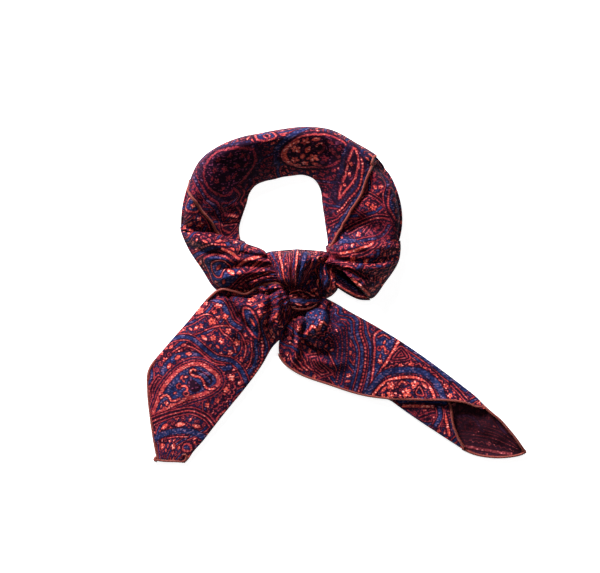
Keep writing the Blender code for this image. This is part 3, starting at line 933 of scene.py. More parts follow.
def ring_edges(rows):
    return polar(rows[:, 0], rows[:, 1] + INNER_ROOM), polar(rows[:, 2], rows[:, 3] - OUTER_ROOM)


def straight_plan(edge_a, edge_b, share):
    return edge_a[:, None] + (edge_b - edge_a)[:, None] * share[None, :, None]


def ring_surface(rows, share):
    """Plan places, heights of the top and heights of the underside, for rows of the ring's table."""
    crown, lip = rows[:, [4]], rows[:, [5]]
    plan = straight_plan(*ring_edges(rows), share)
    climb = 1 - (1 - np.clip(share / RING_CREST_AT, 0, 1)) ** RING_CLIMB
    fall = np.clip((share - RING_CREST_AT) / (1 - RING_CREST_AT), 0, 1)
    top = RING_INNER_HEIGHT + (crown - RING_INNER_HEIGHT) * climb - (crown - lip) * (1 - np.sqrt(1 - fall**2))
    top = np.maximum(top + fold_relief(plan, RING_FOLDS) + unevenness(plan), RING_LEAST_HEIGHT)
    reach = np.clip((share - RING_CONTACT) / (1 - RING_CONTACT), 0, 1)
    return plan, top, (lip - RING_FOLD_THICKNESS) * (reach**2)[None, :]


# %% [markdown]
# The ring has three pieces, as the frame has, but all of them are read from one smooth table, so they meet
# without a step. Round the neck the cloth coordinates fan out too. They are polar, with the true length up
# the slope as the distance.

# %% Ring pieces
def ring_cloth(shape):
    """Cloth coordinates that fan out round the neck, in place of the straight ones."""
    first = shape.top_columns.start
    arc = across_lengths(shape.points, first)
    start = shape.points[:, first, None, :2]
    end = shape.points[:, shape.top_columns.stop - 1, None, :2]
    forward = (end - start) / np.linalg.norm(end - start, axis=2, keepdims=True)
    return shape._replace(cloth=start + forward * arc[:, :, None])


def ring_loft(first, last, step=STEP):
    rows = even_rows(RING, ring_edges, step)
    low, high = RING[first].outer_deg, RING[last].outer_deg
    rows = rows[(rows[:, 2] >= low - 0.3) & (rows[:, 2] <= high + 0.3)]
    plan, top, bottom = ring_surface(rows, np.linspace(0, 1, int(RING_WIDTH / step)))
    shape = loft(plan, top, bottom, rounded_edge(1.2), layered_edge(2.2, 3))
    return ring_cloth(shape)


RING_BACK_MOTIFS = [
    Motif(DARK_BOTEH, True, [
        (-110, 118.5), (-99, 125.5), (-84, 127), (-72.5, 125.5), (-70, 118.5),
        (-75.5, 106), (-85.5, 94.5), (-99.5, 85.5), (-110, 91), (-115.5, 104)]),
    Flower(-102.0, 117.0, 2.6),
    Flower(-92.0, 120.5, 2.5, 4),
    Flower(-81.0, 120.0, 2.6),
    Flower(-106.0, 107.5, 2.5),
    Flower(-96.5, 109.5, 2.9),
    Flower(-86.0, 111.5, 2.6, 4),
    Flower(-104.0, 97.5, 2.6),
    Flower(-94.5, 100.5, 2.5, 4),
    Leaf(-78.5, 112.5, 60, 6.5, 2.6),
    Leaf(-88.5, 103.0, 40, 6.5, 2.6),
    Leaf(-99.0, 91.5, 30, 7.0, 2.6),
    Leaf(-108.0, 100.5, 80, 6.0, 2.2),
    Leaf(-76.5, 119.0, 80, 6.0, 2.2),
    Motif(SWOOSH, False, [(-140, 84), (-128, 104), (-110, 123), (-92, 134), (-74, 138)]),
    Motif(NAVY_BAND, False, [(-52, 112), (-52.5, 123), (-48.5, 130.5), (-36.5, 139.5), (-26.5, 143.5)]),
    Motif(MEDALLION, True, [
        (-48, 120.5), (-44, 128.5), (-34.5, 135.5), (-21.5, 139), (-5.5, 138), (6.5, 132),
        (10, 123), (1.5, 114.5), (-12.5, 110), (-29, 110), (-42, 113.5)]),
    Motif(CRESCENT, False, [(-33, 112.5), (-41, 115), (-45, 121), (-42, 127.5), (-34, 132.5)]),
    Flower(-36.0, 125.5, 4.8),
    Flower(-37.0, 117.0, 4.0),
    Flower(-28.0, 113.8, 3.4),
    Flower(-27.5, 132.0, 4.2),
    Leaf(-29.5, 120.0, 80, 7, 4.6),
    Leaf(-25.0, 125.5, 50, 9, 5.2),
    Flower(-21.0, 119.0, 4.8),
    Leaf(-17.5, 112.8, -15, 8, 4.0),
    Leaf(-18.0, 134.4, 5, 9, 4.2),
    Motif(HOOK, False, [(-18, 128), (-14.5, 131), (-11, 128.5), (-12.5, 124.5), (-16, 122.5)]),
    Flower(-10.5, 117.5, 3.2),
    Leaf(-5.5, 131.5, -25, 8, 3.8),
    Flower(-4.5, 124.5, 3.6),
    Leaf(2.5, 126.5, 60, 8, 3.4),
    Flower(1.5, 119.0, 2.8),
    # Painted shade: the figure is dimmed beside the medallion, where the back of the ring lies in shade.
    Motif(PAINTED_SHADE, True, [(-13, 111), (-13, 122), (-9, 137), (6, 131), (9, 123), (2, 115)]),
    Motif(SMALL_BOTEH, True, [
        (-70, 135.5), (-65, 140.5), (-58, 141), (-52.5, 137), (-58.5, 133.5), (-65, 133)]),
    Motif(RINGLET, True, [(-63.5, 137), (-60.5, 138.8), (-57.5, 137), (-60.5, 135.2)]),
    Motif(DOUBLE, False, [(-87.5, 94), (-82, 88), (-85.5, 80), (-81.5, 72.5), (-85, 65.5)]),
]
RING_SIDE_MOTIFS = [
    Motif(DOUBLE, False, [(18.5, 82), (25, 87.5), (34.5, 84), (47, 72)]),
    Motif(DOUBLE, False, [(15, 74.5), (22, 69), (29, 62.5), (24, 53.5)]),
    Motif(TRIPLE, False, [(9, 55), (22, 62), (38, 66.5), (53, 62)]),
    Motif(SWOOSH, False, [(36, 108), (44, 98), (43, 84), (46, 74), (52, 62)]),
    Motif(SMALL_BOTEH, True, [(46.5, 93), (54, 85), (56.5, 74.5), (53, 63), (46.5, 72), (44.5, 83)]),
    Flower(50.5, 82.0, 2.8),
    Leaf(51.5, 72.5, 80, 6.5, 2.8),
    Flower(32.0, 75.0, 3.4),
    Flower(26.5, 79.0, 2.4, 4),
    Flower(38.0, 93.0, 2.8),
    Leaf(33.0, 104.0, 60, 7, 2.8),
    Motif(DOUBLE, False, [(-131, 66), (-122, 73), (-113.5, 67), (-108, 57)]),
    Motif(SMALL_BOTEH, True, [(-127, 84), (-121, 80), (-119, 74), (-124, 71), (-131, 75)]),
    Flower(-124.0, 77.5, 2.6),
    Flower(-118.0, 61.0, 3.0),
    Flower(-126.5, 61.0, 2.6),
]
# Painted shade: the figure is dimmed on the ring's inner slopes, which face away from the key light.
RING_PAINTED_SHADE = [
    Motif(PAINTED_SHADE, True, [
        (-121, 80), (-127, 98), (-118, 115), (-104, 126), (-84, 130), (-62, 130), (-49, 121), (-53, 106),
        (-69, 97), (-82, 87), (-90, 72), (-99, 66), (-110, 69)]),
    Motif(PAINTED_SHADE, True, [(24, 108), (30, 117), (38, 117), (48, 105), (46, 97), (40, 94), (30, 97)]),
    Motif(PAINTED_SHADE, True, [(28, 60), (36, 64), (48, 62), (50, 53), (40, 48), (30, 51)]),
    Motif(PAINTED_SHADE, True, [(42, 92), (51, 90), (58, 74), (58, 50), (49, 50), (51, 70)]),
    Motif(PAINTED_SHADE, True, [
        (-18, 112), (-8, 113), (1, 101), (0, 80), (-4, 64), (-13, 64), (-14, 84), (-16, 100)]),
]
RING_MOTIFS = RING_BACK_MOTIFS + RING_SIDE_MOTIFS + RING_PAINTED_SHADE
whole_ring = ring_loft(0, len(RING) - 1, 2 * STEP)
ring_anchors = anchors_of(whole_ring, 2)
for name, node, first, last, step in (
    ("neck_right", "band_right", 0, 5, STEP),
    ("neck_back", "band_back", 5, 12, COVERED_STEP),
    ("neck_left", "band_left", 12, 16, STEP),
):
    shape = ring_loft(first, last, step)
    woven = weave(shape, RING_MOTIFS, RING_TURN, RING_SEED, ring_anchors)
    finish_piece(mesh_of(name, shape, face_material, woven), node)

# %% [markdown]
# ## Sheets
# Where a single thickness of cloth shows, as on the turned-in corner and the open end, the piece is a thin
# wall. It is made from a grid of points and their normals, and its rim is closed all round.

# %% Thin walls
CLOTH = 0.9


def grid_normals(points):
    """Unit normals of a grid of points, all on the side that looks up."""
    du = np.gradient(points, axis=0)
    dv = np.gradient(points, axis=1)
    normal = np.cross(du, dv)
    normal = normal / np.maximum(np.linalg.norm(normal, axis=2, keepdims=True), 1e-9)
    return normal * (1 if normal[..., 2].sum() > 0 else -1)


def wall_loft(points, wall=CLOTH):
    """A thin wall whose upper side is the grid, as closed loops round its sections."""
    columns = points.shape[1]
    inner = points - grid_normals(points) * wall
    pick = np.unique(np.linspace(0, columns - 1, max(UNDER_COLUMNS, columns // 4)).round().astype(int))
    middle = len(pick) // 2
    under = [inner[:, j] for j in pick]
    over = [points[:, j] for j in range(columns)]
    parts = under[middle::-1] + over + under[:middle:-1]
    loops = np.stack(parts, axis=1)
    first = middle + 1
    centre = first + columns // 2
    arc = across_lengths(loops, centre)
    across = points[:, -1, :2] - points[:, 0, :2]
    across = across / np.linalg.norm(across, axis=1)[:, None]
    flat = loops[:, centre, None, :2] + across[:, None, :] * arc[:, :, None]
    return Loft(loops, flat, slice(first, first + columns))


# %% [markdown]
# The turned-in corner lies on the ring, so its grid is read from the ring's own surface and moved out. Its
# first and last sections are its two hems. Each hem is given by a few places in plan, and the surface tells
# where along and across the band each of those lies.

# %% Neck flap
FLAP_LIFT = 1.5
FLAP_SHARES = (0.015, 1.0)
FLAP_WIDTH, FLAP_LENGTH = 74, 330
RIM_DROP, RIM_COLUMNS, RIM_REACH = 4.5, 8, 1.9
LEFT_HEM = [(-98.0, 45.0), (-103.1, 54.4), (-109.2, 63.1), (-116.1, 70.9), (-128.3, 90.9), (-134.5, 101.0)]
RIGHT_HEM = [
    (-7.0, 39.5), (-1.3, 47.4), (5.7, 60.5), (13.5, 73.5),
    (22.2, 89.2), (25.7, 99.6), (29.5, 112.0), (30.5, 118.0),
]

FLAP_FOLDS = [
    Fold(-120, 92, -92, 60, 3, 5.0, 2.0),
    Fold(-112, 70, -92, 58, 1, 2.5, -1.6),
    Fold(-104, 64, -84, 62, 0, 2.0, -1.4),
    Fold(-100, 72, -82, 70, 0, 2.0, -1.2),
    Fold(-98, 79, -80, 77, 0, 2.0, 1.0),
    Fold(-16, 96, 4, 58, 4, 3.0, -1.6),
    Fold(-9, 78, 4, 54, 2, 2.4, 1.2),
    Fold(12, 118, 24, 96, 3, 4.0, 1.6),
]


def band_place(x, y):
    """How far along the ring's table, and what share across it, a place in plan lies."""
    places = np.linspace(0, len(RING) - 1, 801)
    share = np.linspace(0, 1, 201)
    plan = straight_plan(*ring_edges(along(RING, places)), share)
    near = np.argmin(np.sum((plan - np.array([x, y])) ** 2, axis=2))
    row, column = np.unravel_index(near, plan.shape[:2])
    return places[row], share[column]


def hem_course(hem, share):
    """The place along the ring at which a hem crosses each share of the band's width."""
    course = np.array([band_place(x, y) for x, y in hem])
    course = course[np.argsort(course[:, 1])]
    return np.interp(share, course[:, 1], course[:, 0])


def flap_grid(step):
    share = np.linspace(*FLAP_SHARES, int(FLAP_WIDTH / step))
    start, end = hem_course(RIGHT_HEM, share), hem_course(LEFT_HEM, share)
    run = np.linspace(0, 1, int(FLAP_LENGTH / step))
    grid = np.empty((len(run), len(share), 3))
    for column, value in enumerate(share):
        rows = along(RING, start[column] + (end[column] - start[column]) * run)
        plan, top, _ = ring_surface(rows, np.array([value]))
        grid[:, column, :2] = plan[:, 0]
        grid[:, column, 2] = top[:, 0]
    grid[..., 2] += fold_relief(grid[..., :2], FLAP_FOLDS)
    return grid


def over_the_rim(grid, drop, columns, reach):
    """Carries the grid's last column over the ring's outer fold and a little way down behind it."""
    outward = grid[:, -1, :2] - grid[:, -2, :2]
    outward = outward / np.linalg.norm(outward, axis=1)[:, None]
    extra = []
    for turn in np.linspace(0, 1, columns + 1)[1:]:
        place = grid[:, -1, :2] + outward * reach * math.sin(turn * math.pi / 2)
        extra.append(np.column_stack([place, grid[:, -1, 2] - drop * turn]))
    return np.concatenate([grid, np.stack(extra, axis=1)], axis=1)


flap_top = over_the_rim(flap_grid(STEP), RIM_DROP, RIM_COLUMNS, RIM_REACH)
flap_top = flap_top + grid_normals(flap_top) * FLAP_LIFT
FLAP_MOTIFS = RING_BACK_MOTIFS + [
    Motif(TRIPLE, False, [(-8.5, 62), (2, 67), (13.5, 78)]),
    Motif(DARK_BOTEH, True, [
        (14.5, 127.5), (19.5, 115.5), (17, 103.5), (10, 92), (2, 83), (4, 96), (8.5, 110)]),
    Flower(13.0, 113.0, 2.6, 4),
    Flower(11.0, 104.0, 2.4, 4),
    Flower(7.0, 95.0, 2.0, 4),
    Motif(BEADS, False, [(21.5, 118), (22, 106), (20, 95), (12, 84), (1, 72)]),
    Motif(NAVY_STRIPE, False, [(27.5, 114), (23.5, 96), (14, 80), (-2, 56)]),
    Motif(SWOOSH, False, [(-124, 103), (-115.5, 87), (-104, 73), (-92, 56)]),
    Motif(NESTED, True, [(-103, 66), (-84, 63.5), (-95, 50)]),
    Motif(BEADS, False, [(-119, 98), (-110, 84), (-99, 74), (-86, 68)]),
# The ring's painted shade lies over the turned-in corner too.
] + RING_PAINTED_SHADE
flap_shape = ring_cloth(wall_loft(flap_top))
flap_woven = weave(flap_shape, FLAP_MOTIFS, RING_TURN, RING_SEED)
finish_piece(mesh_of("neck_corner", flap_shape, face_material, flap_woven), "neck_flap")

# %% [markdown]
# ## The stretches in front
# The other stretches run from one straight section to the next, so a row gives the two ends of a section in
# plan, their heights, and the rise between them. Where an end is tucked under its neighbour, the cloth rolls
# down to it. Towards the knot the same width of cloth has to pass through less and less room, so it is
# thrown into gathers, and the woven figures draw together there.

# %% Stretch helpers
Row = namedtuple("Row", "ax ay bx by az bz rise crest", defaults=(0.50,))
Pleats = namedtuple("Pleats", "count depth reach phase at_end")
Bulge = namedtuple("Bulge", "centre width amount reach")


def row_edges(rows):
    return rows[:, 0:2], rows[:, 2:4]


def gathers(share, distance, count, depth, reach, phase):
    """Uneven pleats that die away with the distance from the knot."""
    drift = phase + 0.6 * np.sin(share * 7.0 + phase * 3.0)
    broad = np.cos(2 * np.pi * (count * share) + drift)
    wave = broad + 0.4 * np.cos(2 * np.pi * count * 1.7 * share - drift * 2)
    fade = np.exp(-distance / reach)
    edge = np.sin(np.pi * np.clip(share, 0, 1)) ** 0.5
    return depth * fade * wave * edge


def rolled_end(distance, radius, least=0.0):
    """A factor on the height that rounds the cloth down over the last few millimetres."""
    inside = np.clip(distance / radius, 0, 1)
    return least + (1 - least) * np.sqrt(np.clip(1 - (1 - inside) ** 2, 0, 1))


def bulged(plan, run, bulge):
    """Moves the first sections back in a soft bulge, so that a stretch doesn't begin in a straight line."""
    centre, width, amount, reach = bulge
    share = np.linspace(0, 1, plan.shape[1])
    back = plan[0] - plan[min(8, len(plan) - 1)]
    back = back / np.maximum(np.linalg.norm(back, axis=1, keepdims=True), 1e-6)
    swell = amount * np.exp(-(((share - centre) / width) ** 2))
    fade = np.clip(1 - run / reach, 0, 1) ** 1.5
    return plan + fade[:, None, None] * swell[None, :, None] * back[None]


def stretch_surface(
    rows, folds, columns, roll_start=0, roll_end=0, pleats=None, floor=1.0, bulge=None,
    roll_least=0.0, roll_until=9.0,
):
    """Plan places and heights of the top of a stretch. Its start rolls down up to one share of its width."""
    plan = straight_plan(*row_edges(rows), np.linspace(0, 1, columns))
    run = run_lengths((rows[:, 0:2] + rows[:, 2:4]) / 2)
    if bulge:
        plan = bulged(plan, run, bulge)
    share = np.linspace(0, 1, columns)[None, :]
    az, bz, rise, crest = (rows[:, [i]] for i in (4, 5, 6, 7))
    top = hump(share, az, bz, rise, crest)
    if pleats:
        count, depth, reach, phase, at_end = pleats
        distance = (run[-1] - run if at_end else run)[:, None]
        top = top + gathers(share, distance, count, depth, reach, phase)
    top = top + fold_relief(plan, folds) + unevenness(plan)
    if roll_start:
        level = np.clip((share - roll_until) / 0.2, 0, 1)
        top = top * (rolled_end(run, roll_start, roll_least)[:, None] * (1 - level) + level)
    if roll_end:
        top = top * rolled_end(run[-1] - run, roll_end)[:, None]
    return plan, np.maximum(top, floor)


def gather_factor(plan, top, cloth_width):
    """How much more cloth than room there is across each section."""
    points = np.dstack([plan, top])
    width = np.linalg.norm(np.diff(points, axis=1), axis=2).sum(axis=1)
    return np.maximum(1, cloth_width / np.maximum(width, 1))


def solid_stretch(table, folds, form_a, form_b, cloth_width, **surface):
    """A stretch that is filled down to the table."""
    rows = even_rows(table, row_edges, STEP)
    widest = np.linalg.norm(rows[:, 2:4] - rows[:, 0:2], axis=1).max()
    plan, top = stretch_surface(rows, folds, int(widest * 1.15 / STEP), **surface)
    gather = gather_factor(plan, top, cloth_width)
    return loft(plan, top, np.zeros_like(top), form_a, form_b, gather)


def dress(name, node, shape, motifs, turn, seed, material=face_material):
    """Makes the piece that stands for one solid, woven and finished."""
    finish_piece(mesh_of(name, shape, material, weave(shape, motifs, turn, seed)), node)


def leaf_grid(table, folds, width, step=STEP, **surface):
    """The grid of points of a thin leaf that is about as wide as the width given."""
    rows = even_rows(table, row_edges, step)
    return np.dstack(stretch_surface(rows, folds, int(width / STEP), **surface))


# %% [markdown]
# On the left the band dips under a ridge and runs down to the knot, with two short deep creases by its side.

# %% Front left
FRONT_LEFT = [
    Row(-81.0, 46.6, -134.6, 58.5, 5, 8, 10, 0.57),
    Row(-79.5, 44.6, -133.0, 52.3, 7, 11, 17, 0.57),
    Row(-74.5, 42.5, -126.5, 38.4, 8, 9, 18, 0.57),
    Row(-69.5, 40.6, -115.8, 22.8, 9, 7, 18, 0.57),
    Row(-65.5, 38.6, -105.0, 6.5, 10, 6, 17, 0.57),
    Row(-62.5, 36.2, -93.0, 1.5, 11, 6, 15, 0.57),
    Row(-60.0, 31.0, -78.5, 0.5, 12, 6, 12, 0.57),
    Row(-57.0, 27.0, -66.0, 5.5, 12, 7, 10, 0.57),
    Row(-51.5, 24.0, -54.5, 8.0, 11, 7, 8, 0.57),
    Row(-46.5, 21.0, -47.5, 11.0, 10, 7, 6, 0.57),
]
FRONT_LEFT_FOLDS = [
    Fold(-133, 50, -84, 41, -2, 4.0, 3.4),
    Fold(-129, 43, -82, 34, -3, 3.0, -4.6),
    Fold(-118, 30, -60, 30, 4, 4.5, 4.0),
    Fold(-84, 36, -56, 31, 0, 2.0, -5.0),
    Fold(-100, 22, -54, 24, 2, 2.6, -4.2),
    Fold(-106, 12, -60, 20, 2, 3.2, 3.6),
    Fold(-92, 9, -56, 18, 1, 2.0, -5.4),
    Fold(-78, 8, -59, 15, 1, 2.0, 2.4),
    Fold(-72, 30, -54, 28, 0, 1.6, 2.2),
    Fold(-112, 42, -96, 14, 3, 5.0, -2.0),
]
FRONT_LEFT_MOTIFS = [
    Motif(SWOOSH, False, [(-131, 30), (-118, 36.5), (-108.5, 40.5), (-94, 44)]),
    Motif(BOLD, False, [(-127, 22), (-116, 30), (-106, 35), (-90, 39)]),
    Motif(SMALL_BOTEH, True, [
        (-115.5, 28.5), (-109, 34.5), (-98, 33.5), (-89, 27.5), (-79.5, 19.5),
        (-86.5, 11.5), (-96, 5), (-103, 7.5), (-110, 17)]),
    Motif(OUTLINE, True, [
        (-109, 26), (-104, 29.5), (-97, 28.5), (-92, 23), (-97.5, 21.5), (-101, 15), (-107, 18)]),
    Leaf(-102.5, 23.5, 50, 7, 3.0),
    Leaf(-91.5, 19.5, -50, 10, 4.6),
    Leaf(-87.0, 24.5, 20, 8, 4.0),
    Leaf(-98, 11.0, 60, 8, 3.0),
    Flower(-84.0, 19.0, 2.6, 4),
    Flower(-104.0, 11.5, 2.2, 4),
    Motif(THICK, False, [(-86, 24), (-79, 29.5), (-71, 32), (-63, 31.5)]),
    Motif(SCALLOPS, False, [(-87, 32), (-80, 37), (-70, 40)]),
    Motif(BOLD, False, [(-77, 17), (-70, 26), (-62, 29), (-54, 28)]),
    Motif(THICK, False, [(-99, 39.5), (-91, 36), (-85, 31)]),
    Motif(BEADS, False, [(-118, 40.5), (-108, 43.5), (-97, 43.0)]),
    Leaf(-124.5, 45.0, 25, 8, 3.0),
    Leaf(-114.0, 46.0, -30, 7, 2.8),
    Leaf(-102.0, 46.5, 10, 8, 3.0),
    Motif(DOUBLE, False, [(-92, 4.5), (-81.5, 15), (-70, 21.5), (-54, 25.5)]),
    Motif(BEADS, False, [(-84, 8), (-75.5, 13.5), (-65, 17), (-54.5, 20)]),
]
dress(
    "front_left", "band_front_left",
    solid_stretch(
        FRONT_LEFT, FRONT_LEFT_FOLDS, rounded_edge(1.2), layered_edge(1.6, 3), 62,
        roll_start=6, roll_least=0.4, roll_end=4,
        bulge=Bulge(0.45, 0.3, 2.5, 15.0), pleats=Pleats(7, 1.6, 16, 0.8, True),
    ),
    FRONT_LEFT_MOTIFS, 25, 3.0,
)

# %% [markdown]
# On the right the band puffs up, comes to a point at its outer corner and is drawn into the knot through one
# place. Its lower layer shows as a lip below the mouth, which is dark from its own shadow and from shade
# painted over the lip.

# %% Front right and its lower lip
FRONT_RIGHT = [
    Row(-8.8, 41.5, 54.3, 46.8, 4, 12.5, 7, 0.70),
    Row(-8.2, 39.3, 54.5, 38.0, 8, 12, 15, 0.48),
    Row(-7.8, 37.0, 52.0, 27.0, 9, 10, 19, 0.45),
    Row(-6.6, 35.5, 42.0, 12.0, 10, 9, 21),
    Row(-7.2, 34.0, 28.3, -2.6, 11, 9, 20, 0.55),
    Row(-8.0, 32.5, 14.0, 17.5, 12, 14, 14, 0.55),
    Row(-9.0, 30.5, 1.5, 22.0, 12, 14, 10),
    Row(-12.0, 27.5, -9.0, 22.5, 10, 10, 6),
]
FRONT_RIGHT_FOLDS = [
    Fold(52, 41, 0, 38, -3, 4.0, 3.8),
    Fold(50, 33, -6, 31, 4, 2.8, -6.5),
    Fold(46, 24, -6, 28, 3, 3.4, 3.6),
    Fold(40, 14, -6, 26, 2, 2.6, -5.5),
    Fold(30, 4, 2, 23, 2, 2.6, 3.0),
    Fold(20, 10, -6, 25, 2, 1.8, -4.0),
    Fold(24, 42, 34, 24, -2, 5.0, -1.6),
    Fold(44, 36, 40, 12, 3, 5.0, 1.6),
]
FRONT_RIGHT_MOTIFS = [
    Motif(NAVY_BAND, False, [(4, 46), (14, 47), (24, 49)]),
    Motif(THICK, False, [(-13.5, 26.5), (-9, 28.5), (2, 35), (16.5, 38), (27.5, 42.5), (32.5, 48.5)]),
    Motif(DOUBLE, False, [(-12, 24.5), (-4, 28.5), (6, 31), (18, 33.5), (29, 38), (36, 45)]),
    Motif(TRIPLE, False, [(-12.5, 22.5), (-2, 25.5), (10, 24.5), (20, 18.5), (27.5, 10)]),
    Motif(SCALLOPS, False, [(23, 16), (23.5, 23), (32.5, 26.5), (38, 33.5), (40.5, 42), (50, 45)]),
    Motif(SCALLOPS, False, [(28, 13), (30, 20), (38, 22), (44, 30), (47, 38)]),
    Motif(SCALLOPS, False, [(33, 9), (36, 17), (44, 20), (49, 28)]),
    Motif(THICK, False, [(29, 5), (37, 9), (43, 16)]),
    Motif(NAVY_STRIPE, False, [(18, 22), (22, 27), (31, 30), (36, 36)]),
    Leaf(25.0, 29.0, 30, 9, 4.4),
    Flower(14.0, 29.5, 3.4),
    Leaf(38.0, 12.5, 60, 8, 3.6),
    Flower(31.5, 4.0, 3.0),
    # Painted shade: the figure is dimmed in the valley where the band leaves the ring.
    Motif(PAINTED_SHADE, True, [(-13, 41), (-3, 42), (3, 34), (1, 25), (-8, 20), (-13, 24)]),
    Motif(THICK, False, [(-11.5, 21), (0.5, 21), (11.5, 15), (21, 7), (28.5, -0.5)]),
]
dress(
    "front_right", "band_front_right",
    solid_stretch(
        FRONT_RIGHT, FRONT_RIGHT_FOLDS, rounded_edge(1.0), rounded_edge(1.2), 64,
        roll_start=6, roll_end=4, roll_until=0.45,
        bulge=Bulge(0.30, 0.20, 9.0, 22.0), pleats=Pleats(8, 1.8, 20, 0.2, True),
    ),
    FRONT_RIGHT_MOTIFS, 12, 4.0,
)

LOWER_LIP = [
    Row(28.0, -1.0, 29.0, -3.8, 2, 3, 1, 0.70),
    Row(24.0, 11.5, 20.5, -3.4, 1.5, 5, 3, 0.85),
    Row(13.0, 19.0, 11.7, 0.2, 1.5, 6, 4, 0.88),
    Row(1.5, 23.0, 1.3, 6.6, 2, 7, 4, 0.86),
    Row(-9.0, 24.0, -7.0, 13.0, 3, 7, 5, 0.80),
]
LIP_MOTIFS = [
    # Painted shade: a dark fill over the lip where it lies in the mouth under the band above.
    Motif(DARK_FILL_AND_SHADE, True, [(-9, 23), (10, 21), (20, 15), (27, 3), (20, -0.5), (11, 4.5), (1, 11), (-8, 18)]),
    Motif(NAVY_STRIPE, False, [(-6, 19), (6, 12.5), (17, 4)]),
    Motif(THICK, False, [(-7.5, 14.5), (1, 8.0), (11, 2.0), (20, -1.8), (29, -3.2)]),
]
dress(
    "front_right_lip", "band_lower_lip",
    solid_stretch(LOWER_LIP, [], rounded_edge(0.6), layered_edge(1.2, 2), 26),
    LIP_MOTIFS, -30, 5.0,
)

# %% [markdown]
# ## The knot
# One end passes over the knot from behind and is drawn down into a pit, in pleats that fan out at the top.
# Its share of the width is worked out as a wave, so the pleats narrow with the cloth.

# %% Knot wrap
KNOT_WRAP = [
    Row(-60.0, 36.8, -7.0, 37.0, 3, 3, 4),
    Row(-60.5, 35.4, -6.5, 35.4, 10, 10, 10),
    Row(-59.0, 31.5, -8.5, 31.5, 12, 12, 20),
    Row(-56.5, 26.0, -14.0, 26.5, 13, 13, 23),
    Row(-53.5, 18.5, -21.0, 19.5, 14, 14, 22),
    Row(-50.5, 11.5, -25.0, 12.0, 14, 13, 18),
    Row(-46.5, 6.5, -28.5, 7.5, 6, 8, 7),
    Row(-43.0, 1.0, -32.0, 2.5, 2, 2, 1),
]
WRAP_WIDTH = 90
WRAP_CLOTH = 92
WRAP_PLEATS = 7
WRAP_PLEAT_DEPTH = 2.7


def knot_wrap_shape():
    rows = even_rows(KNOT_WRAP, row_edges, STEP * 0.8)
    columns = int(WRAP_WIDTH / STEP)
    plan, top = stretch_surface(rows, [], columns, bulge=Bulge(0.5, 0.28, 1.8, 9.0))
    share = np.linspace(0, 1, columns)[None, :]
    place = np.linspace(0, 1, len(rows))[:, None]
    plan[..., 1] += 0.9 * np.sin(2 * np.pi * WRAP_PLEATS * 0.37 * share) * np.clip(1 - 4 * place, 0, 1)
    sway = 0.35 * np.sin(2.2 * place + 5 * share)
    wave = np.abs(np.sin(np.pi * (WRAP_PLEATS * share + sway))) ** 0.7
    side = np.sin(np.pi * share) ** 0.35
    fine = 0.35 * np.sin(2 * np.pi * (WRAP_PLEATS * 2.3 * share + 1.5 * sway))
    top = top + side * np.minimum(1, top / 14) * (WRAP_PLEAT_DEPTH * (wave - 0.55) + fine)
    top = np.maximum(top, 1.0)
    gather = gather_factor(plan, top, WRAP_CLOTH)
    return loft(plan, top, np.zeros_like(top), rounded_edge(0.8), rounded_edge(0.8), gather)


WRAP_MOTIFS = [
    Motif(SWOOSH, False, [(-57, 37), (-51, 24), (-45, 9)]),
    Motif(THICK, False, [(-50, 37), (-47, 24), (-42, 8)]),
    Motif(TRIPLE, False, [(-41, 37), (-40, 24), (-38, 8)]),
    Motif(THICK, False, [(-34, 37), (-35, 24), (-36, 8)]),
    Motif(NAVY_BAND, False, [(-27, 37), (-30, 24), (-33, 8)]),
    Motif(DOUBLE, False, [(-20, 37), (-25, 24), (-31, 8)]),
    Motif(SCROLL, False, [(-13, 34), (-17, 32), (-15, 28), (-11, 30)]),
    Flower(-16.5, 25.5, 3.0),
    Flower(-21.5, 33.0, 2.6),
    Motif(THICK, False, [(-22, 27), (-26, 18), (-30, 10)]),
]
dress("knot_over", "knot_wrap", knot_wrap_shape(), WRAP_MOTIFS, 80, 6.0)

# %% [markdown]
# Right of the pit the gathered band comes out again, and below it a short roll carries a piece of the hem.

# %% Knot neck and roll
KNOT_NECK = [
    Row(-21.5, 30.0, -4.5, 29.5, 8, 8, 3),
    Row(-24.0, 24.5, -3.0, 24.5, 10, 9, 7),
    Row(-26.5, 18.5, -2.2, 18.5, 10, 9, 9),
    Row(-29.0, 11.5, 0.6, 11.5, 10, 8, 11),
    Row(-30.5, 5.0, 0.2, 4.8, 9, 7, 10),
    Row(-29.5, 0.5, -5.0, -1.0, 6, 5, 6),
    Row(-24.0, -3.0, -12.0, -4.5, 2, 2, 3),
]
NECK_FOLDS = [
    Fold(-22, 22, -12, -4, 2, 2.2, -8.0),
    Fold(-13, 24, -6, 3, 2, 1.8, 2.2),
    Fold(-8, 24, -4, 4, 1, 1.4, -3.2),
    Fold(-17, 20, -9, 2, 1, 1.2, 1.4),
]
dress(
    "knot_side", "knot_neck",
    solid_stretch(
        KNOT_NECK, NECK_FOLDS, rounded_edge(0.8), rounded_edge(0.8), 40,
        pleats=Pleats(4, 0.8, 30, 1.1, False),
    ),
    [
        Motif(BOLD, False, [(-19, 22), (-17, 10), (-17, -2)]),
        Motif(NAVY_STRIPE, False, [(-9, 24), (-9, 12), (-11, 0)]),
        Motif(THICK, False, [(-5, 24), (-4.5, 12), (-8, 0)]),
        # Painted shade: dark strokes along the two deep creases by the pit.
        Motif(CREASE_SHADE, False, [(-23, 24), (-20, 10), (-13, -4)]),
        Motif(CREASE_SHADE, False, [(-13, 26), (-12, 12), (-7, 1)]),
        Flower(-1.5, 17.0, 2.8),
        Flower(-3.5, 6.5, 2.8),
        Flower(-21.0, 4.0, 2.8),
    ],
    70, 7.0,
)

